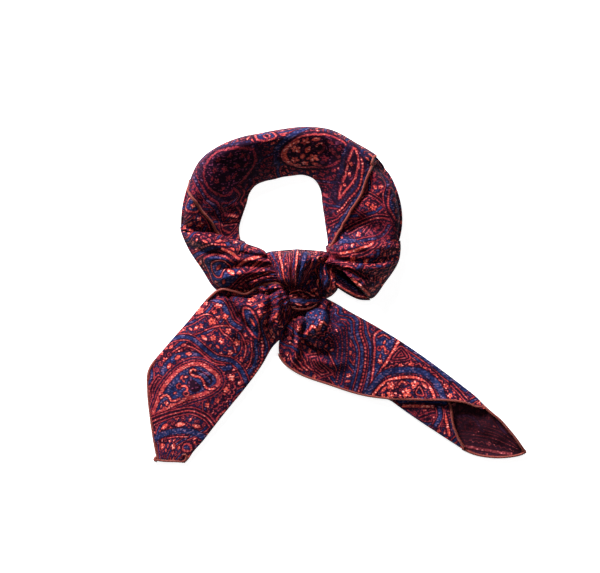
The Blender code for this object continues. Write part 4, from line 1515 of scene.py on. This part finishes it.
KNOT_ROLL = [
    Row(-44.5, 0.0, -42.0, -9.5, 3, 6, 3),
    Row(-40.5, 4.0, -36.5, -11.8, 8, 12, 6, 0.60),
    Row(-33.5, 6.5, -30.0, -12.6, 10, 15, 6, 0.62),
    Row(-26.0, 6.5, -22.5, -11.4, 10, 15, 5, 0.62),
    Row(-19.5, 4.5, -16.5, -7.6, 8, 12.5, 4, 0.55),
    Row(-15.0, 1.0, -12.0, -3.0, 4, 8, 2, 0.45),
]
ROLL_FOLDS = [
    Fold(-43, 0, -17, 0, 4, 1.5, -4.5),
    Fold(-42, -5, -17, -4, 3, 1.3, -3.0),
    Fold(-42, -2, -18, -2, 3, 1.2, 1.6),
]
dress(
    "knot_roll_below", "knot_roll",
    solid_stretch(
        KNOT_ROLL, ROLL_FOLDS, rounded_edge(0.8), rounded_edge(0.9), 34, roll_start=3, roll_end=3
    ),
    [
        Motif(BOLD, False, [(-41, 1), (-30, 3), (-20, -1)]),
        Motif(NAVY_STRIPE, False, [(-40, -5), (-29, -6.5), (-18, -4)]),
        Leaf(-36.0, -2.0, 20, 6, 3.2),
        Leaf(-28.0, -2.0, 0, 6, 3.2),
        Leaf(-33.0, -9.0, -10, 7, 2.8),
        Leaf(-25.0, -8.0, 10, 6, 2.8),
    ],
    10, 8.0,
)

# %% [markdown]
# ## The tails
# The left tail comes out from under the knot with its hem across the top and lies flat down to its corner.

# %% Left tail
LEFT_TAIL = [
    Row(-45.0, 7.5, -37.5, -10.0, 7, 6, 7),
    Row(-50.0, 9.2, -39.0, -14.5, 13, 8, 11, 0.52),
    Row(-58.0, 9.8, -41.0, -20.5, 15, 8, 13, 0.55),
    Row(-68.5, 6.5, -43.5, -28.0, 16, 7, 13, 0.58),
    Row(-79.0, 0.5, -46.5, -34.5, 15, 7, 13, 0.60),
    Row(-90.0, 3.0, -49.0, -37.5, 15, 7, 11, 0.58),
    Row(-101.0, 4.2, -52.5, -40.5, 13, 6.5, 9),
    Row(-112.4, -4.6, -58.0, -47.0, 9, 6, 8, 0.45),
    Row(-128.2, -23.5, -67.0, -62.5, 6, 5, 7, 0.45),
    Row(-147.0, -45.0, -81.5, -82.0, 5, 5, 5, 0.45),
    Row(-162.4, -64.8, -97.5, -101.5, 4, 5, 4, 0.45),
    Row(-163.7, -84.0, -108.5, -115.5, 3, 4.5, 3.5),
    Row(-162.0, -103.0, -117.0, -126.5, 2.5, 4, 2.5),
    Row(-159.4, -122.0, -125.0, -135.5, 2.2, 4, 1.6),
    Row(-157.2, -134.5, -129.0, -141.5, 2.0, 3.2, 1.0),
    Row(-155.4, -143.0, -131.5, -145.2, 1.6, 2.0, 0.5),
]
LEFT_TAIL_FOLDS = [
    Fold(-108, -3, -72, -3, 3, 2.8, -6.5),
    Fold(-74, 2, -50, 4, -2, 2.4, -7.0),
    Fold(-95, 1, -74, -32, -3, 2.6, -8.5),
    Fold(-103, -3, -82, -40, -3, 3.6, 3.6),
    Fold(-66, 6, -72, -30, 5, 3.0, 4.0),
    Fold(-60, 6, -62, -26, 4, 2.0, -7.0),
    Fold(-53, 3, -52, -28, 2, 2.6, 4.0),
    Fold(-48, 0, -47, -24, 1, 1.6, -5.0),
    Fold(-56, -10, -50, -32, -1, 1.8, -3.0),
    Fold(-122, -22, -92, -52, -3, 6.0, 1.8),
    Fold(-140, -52, -104, -58, 4, 7.0, -1.4),
    Fold(-150, -76, -118, -96, 3, 8.0, 1.6),
    Fold(-112, -64, -96, -94, -3, 7.0, 1.2),
]
LEFT_TAIL_MOTIFS = [
    Motif(OUTLINE, False, [
        (-122, -20.5), (-112, -17), (-105, -22), (-99.5, -32.5), (-91, -39.5), (-87.5, -50)]),
    Motif(OUTLINE, False, [
        (-114.5, -31), (-103.5, -27.5), (-93, -27.5), (-83.5, -34), (-79, -44.5), (-80.5, -55)]),
    Motif(SWOOSH, False, [(-106.5, -5), (-99.5, -7.5), (-96, -15), (-91, -24), (-84, -29)]),
    Motif(DOUBLE, False, [(-94.5, -1.5), (-91, -8.5), (-86.5, -18), (-83, -22)]),
    Flower(-118.0, -13.5, 4.2),
    Flower(-103.0, -10.0, 3.4),
    Flower(-109.0, -23.0, 4.0),
    Flower(-96.0, -19.5, 3.0, 4),
    Flower(-93.5, -32.0, 3.2),
    Flower(-86.0, -41.5, 3.4),
    Flower(-99.5, -40.0, 3.2),
    Flower(-107.0, -37.0, 3.0),
    Leaf(-115.0, -37.5, -40, 8, 3.6),
    Leaf(-122.0, -29.0, 40, 7, 3.2),
    Flower(-92.0, -50.0, 2.8),
    Motif(SMALL_BOTEH, True, [
        (-81.5, -13), (-79, -25.5), (-73, -35), (-67.5, -39), (-67.5, -25.5), (-74.5, -13)]),
    Leaf(-73.0, -24.0, -60, 10, 2.6),
    Flower(-73.5, -4.0, 3.6),
    Flower(-65.0, -9.0, 3.2),
    Flower(-58.5, -13.5, 2.8, 4),
    Flower(-61.5, -24.0, 3.0),
    Flower(-57.0, -32.5, 2.8),
    Leaf(-52.5, -18.0, 70, 10, 3.8),
    Motif(BEADS, False, [(-65, -37), (-64.5, -50.5), (-67, -62), (-74, -72)]),
    Motif(NAVY_STRIPE, False, [(-70, -40), (-69.5, -50.5), (-72, -62), (-78, -70)]),
    Motif(OUTLINE, False, [(-74, -41), (-73.5, -50.5), (-76, -61), (-81, -67)]),
    Motif(SWOOSH, False, [
        (-151, -43), (-141, -38), (-129, -37), (-120.5, -42), (-112, -49.5), (-103.5, -55),
        (-93, -57), (-86.5, -61), (-81.5, -68.5), (-78.5, -76)]),
    Motif(NAVY_BAND, False, [
        (-152.5, -74), (-148, -62), (-140, -54.5), (-129, -52),
        (-119.5, -54), (-110, -59), (-101, -64), (-93.5, -63)]),
    Motif(OUTLINE, False, [
        (-143, -50), (-132.5, -44.5), (-122, -47.5), (-113.5, -54.5), (-105.5, -60), (-97, -61)]),
    Leaf(-145.5, -62.0, 62, 6.4, 3.6),
    Leaf(-138.0, -54.5, 35, 6.4, 3.6),
    Leaf(-128.5, -51.5, 0, 6.4, 3.4),
    Leaf(-133.0, -44.0, 20, 5.6, 3.0),
    Leaf(-144.0, -45.5, 40, 6.0, 3.0),
    Motif(NESTED, True, [(-162.5, -86), (-155.5, -70), (-148, -78), (-157.5, -96)]),
    Motif(SCALLOPS, False, [(-88.5, -78), (-91, -88.5), (-99.5, -95), (-107.5, -101.5), (-109, -109.5)]),
    Flower(-96.0, -83.5, 3.2),
    Flower(-92.0, -72.5, 3.6),
    Flower(-99.5, -75.5, 2.4, 4),
    Flower(-104.0, -92.0, 2.8),
    Flower(-112.5, -96.5, 2.6, 4),
    Motif(SMALL_BOTEH, True, [(-104, -108), (-100, -103), (-96.5, -101), (-98, -108), (-103, -113)]),
    Motif(BOTEH, True, [
        (-160.5, -107), (-155.5, -92), (-150, -80), (-142.5, -70.5),
        (-134, -63.5), (-124.5, -60), (-116, -61),
        (-109, -65.5), (-103.5, -70.5), (-102.5, -77), (-107.5, -82), (-116, -86.5), (-126.5, -89.5),
        (-136, -93), (-150, -100)]),
    Motif(NAVY_HOLE, True, [
        (-126, -66), (-121, -65), (-113, -68), (-108, -74), (-110, -79), (-116, -77), (-120, -72)]),
    Motif(DARK_FILL_AND_SHADE, True, [
        (-127.5, -73), (-122, -75.5), (-117.5, -80.5), (-121, -85), (-127, -83.5), (-130.5, -79)]),
    Motif(RINGLET, True, [(-139.2, -79.6), (-136.8, -77.2), (-134.2, -79.2), (-136.4, -81.9)]),
    Motif(SCROLL, False, [(-134.4, -79.6), (-131.8, -79.4), (-129.8, -81.2), (-130.2, -84.0)]),
    Motif(RINGLET, True, [(-133.4, -86.2), (-131.0, -83.8), (-128.2, -85.8), (-130.4, -88.4)]),
    Leaf(-134.5, -72.0, 62, 5.2, 2.6),
    Leaf(-130.8, -71.6, 10, 4.6, 2.4),
    Leaf(-133.0, -75.0, -40, 3.8, 2.0),
    Leaf(-140.5, -85.5, 40, 3.6, 1.8),
    Motif(SCROLL, False, [
        (-153, -90), (-149, -87.5), (-146, -88.5), (-143.5, -92.5), (-139.5, -92), (-136.5, -90.5)]),
    Flower(-148.0, -94.0, 2.4, 4),
    Leaf(-152.5, -97.0, 60, 4.4, 1.8),
    Motif(HOOK, False, [
        (-105.5, -81.5), (-111, -82), (-114.5, -79.5), (-115.5, -75.5), (-118.5, -72), (-122.5, -71),
        (-126, -69.5), (-127, -66.5), (-124.5, -64.8), (-122.5, -66.2)]),
    Motif(TRIPLE, False, [
        (-161.5, -111), (-151, -106.5), (-139.5, -103), (-126.5, -101), (-114, -106), (-107, -114)]),
    Motif(NAVY_BAND, False, [
        (-159, -126.5), (-152.5, -122), (-144.5, -119.5), (-134, -118.5), (-123.5, -120), (-112, -126)]),
    Leaf(-149.5, -114.8, 14, 11, 4.4),
    Leaf(-136.0, -112.8, 0, 11.5, 4.6),
    Leaf(-121.5, -114.6, -18, 10, 4.2),
    Flower(-152.0, -132.0, 3.8),
    Flower(-141.5, -131.5, 3.6),
    Motif(OUTLINE, False, [(-147, -125), (-138, -123.5), (-129, -124)]),
    Motif(SMALL_BOTEH, True, [(-134, -135), (-132, -130), (-127.5, -130.5), (-127, -136)]),
]
dress(
    "left_end", "left_tail",
    solid_stretch(
        LEFT_TAIL, LEFT_TAIL_FOLDS, layered_edge(1.0, 2), layered_edge(1.2, 2), 66,
        roll_start=4, pleats=Pleats(6, 1.2, 26, 0.4, False),
    ),
    LEFT_TAIL_MOTIFS, 50, 9.0,
)

# %% [markdown]
# The right tail is folded lengthwise. Its upper leaf ends in a hem that lifts off near the corner. Under it
# the lower leaf shows the wrong side of the cloth, and a strip of it is turned back, right side up.

# %% Right tail
RIGHT_TOP = [
    Row(-38.5, -10.0, -14.0, -1.0, 3, 3, 1),
    Row(-43.0, -17.0, -8.5, -3.5, 4, 8, 4, 0.62),
    Row(-46.5, -29.0, 0.0, -8.0, 7, 8, 12, 0.52),
    Row(-50.3, -43.5, 12.0, -15.0, 6, 7, 13, 0.55),
    Row(-47.4, -57.0, 25.5, -22.5, 4.5, 6.5, 11, 0.60),
    Row(-31.5, -69.0, 41.0, -31.5, 3.6, 6, 8, 0.60),
    Row(-5.5, -78.3, 58.0, -42.0, 3.6, 5.5, 6, 0.60),
    Row(20.5, -86.5, 77.0, -55.0, 4.6, 5.2, 5, 0.55),
    Row(43.5, -90.0, 96.0, -69.0, 6.5, 5.2, 4, 0.45),
    Row(68.0, -91.0, 111.0, -80.5, 9.5, 5.5, 2.2, 0.38),
    Row(94.0, -91.5, 120.5, -88.0, 11.5, 6.5, 1.2, 0.35),
    Row(113.0, -94.0, 127.0, -94.5, 10.5, 7.5, 0.6, 0.40),
    Row(126.0, -99.8, 131.0, -98.5, 9.0, 8.4, 0.2),
]
RIGHT_TOP_FOLDS = [
    Fold(-45, -17, -30, -17, 0, 3.4, -9.0),
    Fold(-29, -15, -31, -34, 4, 2.8, -9.0),
    Fold(-31, -37, -9, -51, -5, 3.8, -11.0),
    Fold(-20, -25, -13, -31, 1, 9.0, 9.0),
    Fold(-5, -7, -2, -27, -2, 3.2, -9.0),
    Fold(-26, -13, -12, -9, 1, 2.2, -5.0),
    Fold(-36, -16, -38, -44, 1, 2.0, -4.0),
    Fold(-40, -30, -37, -58, 4, 3.4, 3.0),
    Fold(-22, -54, 6, -60, -3, 4.0, 2.6),
    Fold(0, -10, 26, -34, 3, 3.6, 3.0),
    Fold(8, -24, 30, -62, -4, 5.5, -2.2),
    Fold(30, -34, 54, -66, -4, 6.5, 1.8),
    Fold(62, -56, 84, -78, -2, 6.0, -1.2),
]
RIGHT_TOP_MOTIFS = [
    Motif(NESTED, True, [
        (-27, -53), (-26, -52), (-16.5, -50.5), (-15, -51.5),
        (-3.5, -68), (-3.5, -69.5), (-13, -72.5), (-15, -71.5)]),
    Motif(NAVY_STRIPE, False, [(-7.5, -50), (-1.5, -58.5), (4, -70.5), (5, -81.5)]),
    Motif(OUTLINE, False, [(-11, -47), (-4, -57), (1.5, -70), (2, -80)]),
    Motif(NAVY_DISC, True, [
        (-30, -26), (-27, -17), (-19, -12), (-9, -14), (-4.5, -23), (-6, -35), (-15, -40), (-26, -37)]),
    Leaf(-24.5, -19.5, 40, 2.6, 1.5),
    Leaf(-20.5, -23.5, 70, 2.4, 1.4),
    Leaf(-25.0, -25.0, 10, 2.2, 1.4),
    Leaf(-18.0, -18.0, 20, 2.4, 1.4),
    Leaf(-21.5, -29.0, 80, 2.2, 1.3),
    Leaf(-15.0, -22.0, 50, 2.4, 1.4),
    Leaf(-22.5, -16.0, 10, 2.2, 1.3),
    Leaf(-27.5, -22.0, 60, 2.2, 1.3),
    Leaf(-14.0, -16.5, 40, 2.4, 1.4),
    Leaf(-10.5, -20.0, 80, 2.4, 1.4),
    Motif(THICK, False, [
        (-25.5, -33), (-21, -27.5), (-16, -30.5), (-12.5, -24.0), (-7.5, -27.0), (-5.5, -33)]),
    Leaf(-14.0, -34.0, -5, 9, 3.6),
    Motif(SCALLOPS, False, [(-26, -32), (-20, -36.5), (-13, -36), (-8, -31), (-5.5, -23)]),
    Flower(-32.5, -29.5, 3.4),
    Flower(-26.5, -33.0, 2.6, 4),
    Motif(DOTTED, False, [(-2, -12), (4, -24), (9, -40), (8, -60), (4, -78)]),
    Motif(DOTTED, False, [(-5, -16), (0, -27), (5, -41), (4, -58), (0, -76)]),
    Motif(DOTTED, False, [(-4, -34), (1, -44), (0, -56)]),
    Motif(WIDE_BANDS, False, [(2, -7), (11, -17), (20, -31), (24.5, -48), (23, -68), (18, -86)]),
    Motif(SMALL_BOTEH, True, [
        (29.5, -86), (31.5, -66), (33, -48), (32.5, -36), (38, -31),
        (44, -30), (52, -37), (46.5, -53), (39, -67)]),
    Motif(ROPE, False, [(28.5, -85), (38.5, -66.5), (47, -53), (54, -40)]),
    Motif(RINGLET, True, [(35.2, -46.8), (37, -45.2), (38.8, -46.8), (37, -48.6)]),
    Motif(SCROLL, False, [(38.8, -45.8), (40.6, -45.2), (41.8, -46.6), (42.4, -48.4)]),
    Motif(RINGLET, True, [(41.6, -50), (43.4, -48.4), (45.4, -49.8), (43.4, -51.6)]),
    Leaf(41.5, -41.5, 60, 5.0, 2.2),
    Leaf(38.0, -53.5, 80, 4.0, 1.8),
    Flower(38.0, -58.5, 2.6),
    Motif(OUTLINE, False, [(36, -37), (41, -35), (46, -38)]),
    Motif(SWOOSH, False, [(60, -44), (72, -52), (86, -63), (98, -73), (112, -83)]),
    Motif(NESTED, True, [(45.5, -57.5), (56, -44.5), (64, -56)]),
    Motif(SCALLOPS, False, [
        (41, -66), (46.5, -62.5), (54, -60.5), (66, -59.5), (77, -63), (88, -72), (96, -84)]),
    Flower(55.5, -61.5, 2.6),
    Flower(65.5, -60.5, 3.0),
    Flower(76.0, -64.5, 2.8),
    Flower(86.0, -71.0, 3.0),
    Flower(94.5, -79.5, 2.8),
    Flower(98.5, -87.5, 2.6),
    Motif(NAVY_BAND, False, [
        (26.5, -86.5), (32, -79), (39.5, -70), (47.5, -66.5), (56, -65.5), (66, -65.5),
        (75, -67.5), (85, -75), (90.5, -83), (93, -92)]),
    Motif(ROPE, False, [
        (31.5, -88), (38, -79.5), (46.5, -74), (56, -72),
        (67.5, -72), (76.5, -76), (82.5, -83), (85.5, -92)]),
    Leaf(76.5, -79.0, -45, 8, 3.4),
    Leaf(41.0, -82.5, 45, 8, 3.0),
    Flower(47.5, -78.5, 4.0),
    Flower(67.5, -78.0, 4.2),
    Flower(60.0, -85.0, 4.8),
    Flower(47.0, -87.0, 3.8),
    Motif(OUTLINE, True, [(72, -80), (69, -86), (75.5, -87.5)]),
    Motif(SCROLL, False, [(54, -78), (57, -75.5), (60.5, -78)]),
    Motif(DOUBLE, False, [(100, -78), (107, -85), (113, -92)]),
    Motif(OUTLINE, False, [(-40, -52), (-37, -60), (-30, -66)]),
    Motif(OUTLINE, False, [(-36, -50), (-33, -58), (-25, -66)]),
    Motif(OUTLINE, False, [(-32, -49), (-28, -57), (-20, -66)]),
]
right_top_points = leaf_grid(
    RIGHT_TOP, RIGHT_TOP_FOLDS, 88, roll_start=3, pleats=Pleats(6, 1.3, 24, 2.0, False), floor=3.0
)
dress("right_end_upper_leaf", "right_tail_top", wall_loft(right_top_points), RIGHT_TOP_MOTIFS, -30, 10.0)

RIGHT_UNDER = [
    Row(-38.5, -34.0, -8.0, -16.0, 1.2, 2.0, 0),
    Row(-43.0, -53.0, 18.5, -23.0, 1.2, 2.2, 0),
    Row(-6.0, -76.3, 53.5, -43.0, 1.2, 2.5, 0),
    Row(46.0, -92.0, 93.0, -69.0, 1.2, 3.0, 0),
    Row(72.0, -109.8, 111.0, -82.0, 1.2, 4.0, -0.5),
    Row(86.5, -118.8, 120.0, -90.0, 1.2, 5.5, -1.5),
    Row(100.5, -128.2, 127.6, -96.8, 1.3, 7.5, -2.8),
    Row(111.0, -134.8, 134.5, -102.8, 1.6, 8.5, -3.8),
    Row(122.0, -139.2, 142.5, -109.5, 2.0, 8.6, -4.0),
    Row(135.5, -141.3, 149.5, -117.5, 2.4, 8.0, -3.6),
    Row(147.5, -141.2, 156.0, -125.5, 2.5, 6.8, -2.6),
    Row(157.5, -139.7, 161.2, -133.0, 2.6, 4.8, -1.2),
    Row(163.4, -137.6, 163.8, -136.4, 2.4, 3.0, 0),
]
RIGHT_UNDER_FOLDS = [
    Fold(96, -104, 150, -132, 4, 5.0, 1.6),
    Fold(104, -100, 146, -116, 5, 4.0, -1.4),
    Fold(110, -124, 150, -136, -2, 3.5, -0.9),
]
RIGHT_UNDER_MOTIFS = [
    Motif(TRIPLE, False, [(108, -121), (122, -122.5), (136, -125), (148, -130), (158, -134.5)]),
    Motif(SCALLOPS, False, [(114, -127), (128, -129), (142, -132.5), (154, -136)]),
    Motif(THICK, False, [(112, -132), (126, -134.5), (140, -137), (152, -138.5)]),
    Motif(DOUBLE, False, [(128, -116), (138, -119), (148, -124.5), (157, -131)]),
    Flower(121.0, -118.0, 3.0),
    Flower(133.0, -129.5, 2.6, 4),
    # Painted shade: the figure is dimmed over part of the lower leaf, where it lies in shade.
    Motif(PAINTED_SHADE, True, [
        (96, -118), (100, -100), (118, -90), (134, -101), (138, -112), (124, -118), (110, -124)]),
]
right_under_points = leaf_grid(RIGHT_UNDER, RIGHT_UNDER_FOLDS, 56, 1.2 * STEP)
dress(
    "right_end_lower_leaf", "right_tail_under", wall_loft(right_under_points),
    RIGHT_UNDER_MOTIFS, -30, 11.0, reverse_material,
)

RIGHT_TURN = [
    Row(45.5, -91.0, 52.0, -84.0, 3.0, 3.4, 0.4),
    Row(59.5, -101.3, 75.0, -83.0, 3.0, 4.4, 0.9),
    Row(73.0, -110.6, 92.0, -85.5, 3.0, 5.4, 1.4),
    Row(87.0, -119.8, 98.5, -95.5, 3.0, 6.0, 1.6),
    Row(98.0, -127.0, 101.0, -112.0, 3.1, 5.6, 1.2),
    Row(105.5, -131.8, 105.5, -124.0, 3.3, 5.0, 0.6),
    Row(110.6, -134.8, 110.4, -132.4, 3.4, 4.2, 0.1),
]
RIGHT_TURN_FOLDS = [Fold(66, -98, 100, -118, 2, 4.0, 0.8)]
RIGHT_TURN_MOTIFS = [
    Motif(THICK, False, [(50, -86), (68, -86), (90, -88)]),
    Motif(NAVY_BAND, False, [(55, -92), (70, -91), (94, -93)]),
    Motif(THICK, False, [(58, -97), (72, -97), (94, -98)]),
    Motif(DOUBLE, False, [(72, -107), (84, -103), (98, -103)]),
    Motif(ROPE, False, [(92, -98), (95, -108), (98, -122)]),
    Motif(SWOOSH, False, [(86, -114), (90, -106), (89, -98)]),
]
right_turn_points = leaf_grid(RIGHT_TURN, RIGHT_TURN_FOLDS, 34, floor=2.4)
dress("right_end_turned_back", "right_tail_turn", wall_loft(right_turn_points), RIGHT_TURN_MOTIFS, -10, 12.0)

# %% [markdown]
# ## The rolled hem
# The scarf's edge is rolled over a cord and bound with thread, turn by turn. A node group lays the roll along
# a line and winds the thread over it, so every hem has the same stitch.

# %% Hem node group
HEM_INPUTS = {"Radius": 1.0 * MM, "Stitch Length": 1.15 * MM, "Thread Radius": 0.28 * MM, "Lean": 0.5}


def group_node(tree, kind, settings=(), **links):
    return new_node(tree, kind, settings, **links).outputs[0]


def wound_thread(tree, given):
    """One turn of the binding thread, leaning a little."""
    radius = maths(tree, "ADD", given["Radius"], maths(tree, "MULTIPLY", given["Thread Radius"], 0.3))
    turn = group_node(tree, "GeometryNodeCurvePrimitiveCircle", Resolution=14, Radius=radius)
    section = group_node(
        tree, "GeometryNodeCurvePrimitiveCircle", Resolution=5, Radius=given["Thread Radius"]
    )
    thread = group_node(tree, "GeometryNodeCurveToMesh", i0=turn, i1=section)
    lean = group_node(tree, "ShaderNodeCombineXYZ", X=given["Lean"])
    return group_node(tree, "GeometryNodeTransform", Geometry=thread, Rotation=lean)


def hem_group():
    """Geometry nodes: a line in, and a rolled and bound hem out."""
    tree = bpy.data.node_groups.new("rolled_hem", "GeometryNodeTree")
    face = tree.interface
    face.new_socket("Geometry", in_out="INPUT", socket_type="NodeSocketGeometry")
    for name in HEM_INPUTS:
        face.new_socket(name, in_out="INPUT", socket_type="NodeSocketFloat")
    face.new_socket("Material", in_out="INPUT", socket_type="NodeSocketMaterial")
    face.new_socket("Geometry", in_out="OUTPUT", socket_type="NodeSocketGeometry")
    given = tree.nodes.new("NodeGroupInput").outputs
    line = group_node(tree, "GeometryNodeMeshToCurve", i0=given["Geometry"])
    by_stitch = group_node(
        tree, "GeometryNodeResampleCurve", {"mode": "LENGTH"}, Curve=line, Length=given["Stitch Length"]
    )
    section = group_node(tree, "GeometryNodeCurvePrimitiveCircle", Resolution=10, Radius=given["Radius"])
    roll = group_node(tree, "GeometryNodeCurveToMesh", i0=by_stitch, i1=section, Fill_Caps=True)
    tangent = group_node(tree, "GeometryNodeInputTangent")
    facing = group_node(tree, "FunctionNodeAlignRotationToVector", {"axis": "Z"}, Vector=tangent)
    turns = group_node(
        tree, "GeometryNodeInstanceOnPoints",
        i0=by_stitch, Instance=wound_thread(tree, given), Rotation=facing,
    )
    joined = tree.nodes.new("GeometryNodeJoinGeometry")
    tree.links.new(turns, joined.inputs[0])
    tree.links.new(roll, joined.inputs[0])
    real = group_node(tree, "GeometryNodeRealizeInstances", i0=joined.outputs[0])
    smooth = group_node(tree, "GeometryNodeSetShadeSmooth", i0=real)
    done = group_node(tree, "GeometryNodeSetMaterial", Geometry=smooth, Material=given["Material"])
    tree.links.new(done, tree.nodes.new("NodeGroupOutput").inputs[0])
    return tree


# %% [markdown]
# The thread is a rust red, a little uneven in colour.

# %% Hem material
THREAD_DEEP = (0.055, 0.006, 0.005)
THREAD_BRIGHT = (0.215, 0.032, 0.020)


def hem_thread():
    material = bpy.data.materials.new("hem_thread")
    material.use_nodes = True
    tree = material.node_tree
    shader = tree.nodes["Principled BSDF"]
    place = tree.nodes.new("ShaderNodeTexCoord").outputs["Object"]
    noise = new_node(tree, "ShaderNodeTexNoise", Vector=place, Scale=900.0, Detail=2.0).outputs["Fac"]
    tree.links.new(blended(tree, noise, THREAD_DEEP, THREAD_BRIGHT), shader.inputs["Base Color"])
    shader.inputs["Roughness"].default_value = 0.55
    shader.inputs["Specular IOR Level"].default_value = 0.3
    return material


hem_material = hem_thread()
rolled_hem = hem_group()


def line_mesh(name, points):
    mesh = bpy.data.meshes.new(name)
    edges = [(k, k + 1) for k in range(len(points) - 1)]
    mesh.from_pydata(((points + TO_FRAME) * MM).tolist(), edges, [])
    return mesh


def set_inputs(modifier, tree, values):
    """Sets a node modifier's inputs by the names that its group gives them."""
    for item in tree.interface.items_tree:
        if item.item_type == "SOCKET" and item.in_out == "INPUT" and item.name in values:
            modifier[item.identifier] = values[item.name]


def add_hem(name, points):
    """A hem along a line of points in plan and height, in millimetres."""
    hem = bpy.data.objects.new(name, line_mesh(name + "_line", points))
    bpy.context.scene.collection.objects.link(hem)
    modifier = hem.modifiers.new("hem", "NODES")
    modifier.node_group = rolled_hem
    set_inputs(modifier, rolled_hem, {**HEM_INPUTS, "Material": hem_material})
    graph = bpy.context.evaluated_depsgraph_get()
    made = bpy.data.meshes.new_from_object(hem.evaluated_get(graph))
    hem.modifiers.clear()
    hem.data = made
    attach(hem, "root")
    print(name, len(made.polygons), "faces")


# %% [markdown]
# Each hem follows an edge of a stretch, from one row of its table to another. The two hems of the turned-in
# corner are the ends of its own surface.

# %% Hem lines
def edge_line(table, side, first, last, lift, points=90):
    """An edge of a stretch between two rows of its table, as places and heights."""
    rows = along(table, np.linspace(min(first, last), max(first, last), points))
    if first > last:
        rows = rows[::-1]
    place = rows[:, 0:2] if side == "a" else rows[:, 2:4]
    height = rows[:, 4] if side == "a" else rows[:, 5]
    return np.column_stack([place, height + lift])


HEM_REST = HEM_INPUTS["Radius"] / MM + 0.25
LEFT_BOTTOM = [(-157, -143.6, 1.6), (-150, -144.6, 1.5), (-140, -144.9, 1.5), (-131.5, -145.4, 1.6)]
CORNER_CURL = [
    (-156.8, -141.4, 1.6), (-158.2, -142.6, 1.8), (-158.2, -144.2, 1.8), (-157.0, -144.6, 2.2),
    (-156.4, -143.4, 2.8),
]
END_ROLL = [
    (-133.6, -145.2, 1.8), (-131.4, -144.0, 2.4), (-130.4, -141.2, 3.2), (-131.6, -139.0, 3.8),
    (-133.6, -139.4, 3.4),
]
TIP_CURL = [
    (161.6, -135.8, 3.4), (163.2, -135.6, 3.4), (164.0, -136.8, 3.2), (163.2, -137.8, 3.0),
    (162.2, -137.0, 3.8),
]
CURL_PLACES = np.linspace(0, 4, 24)
tip_edge = edge_line(RIGHT_UNDER, "b", 5.8, 12.0, 0.0)
hem_lines = {
    "hem_corner_right": flap_top[0][:-5],
    "hem_corner_left": flap_top[-1][:-5],
    "hem_left_end_top": edge_line(LEFT_TAIL, "a", 0.2, 7.0, 0.2),
    "hem_left_end_side": np.vstack([
        edge_line(LEFT_TAIL, "a", 9.6, 14.9, -0.4), along(LEFT_BOTTOM, np.linspace(0.1, 3, 20))]),
    "hem_right_end_top": np.vstack([edge_line(RIGHT_TOP, "a", 3.6, 11.5, -0.3), tip_edge[5:12]]),
    "hem_right_end_tip": np.vstack([tip_edge, edge_line(RIGHT_UNDER, "a", 11.6, 6.85, 0.3)]),
    "hem_right_end_turned": edge_line(RIGHT_TURN, "b", 1.8, 6.0, 0.0),
    "hem_knot": edge_line(KNOT_ROLL, "b", 0.5, 3.8, 0.3),
    "hem_left_end_corner": along(CORNER_CURL, CURL_PLACES),
    "hem_left_end_roll": along(END_ROLL, CURL_PLACES),
    "hem_right_end_corner": along(TIP_CURL, CURL_PLACES),
}
for name, points in hem_lines.items():
    points = points.copy()
    points[:, 2] = np.maximum(points[:, 2], HEM_REST)
    add_hem(name, points)

# %% [markdown]
# A sheet record holds a piece with the cut that shows: its width and length in metres, and its area where it
# tapers. These sizes were set to agree with the areas of the pieces above. They were not measured in the
# photo, so an area share near 1 in the table is no check on them. A hem goes with the sheet that it binds.

# %% Sheets
Sheet = namedtuple("Sheet", "piece held flat area rests_on hems", defaults=(None, (), ()))
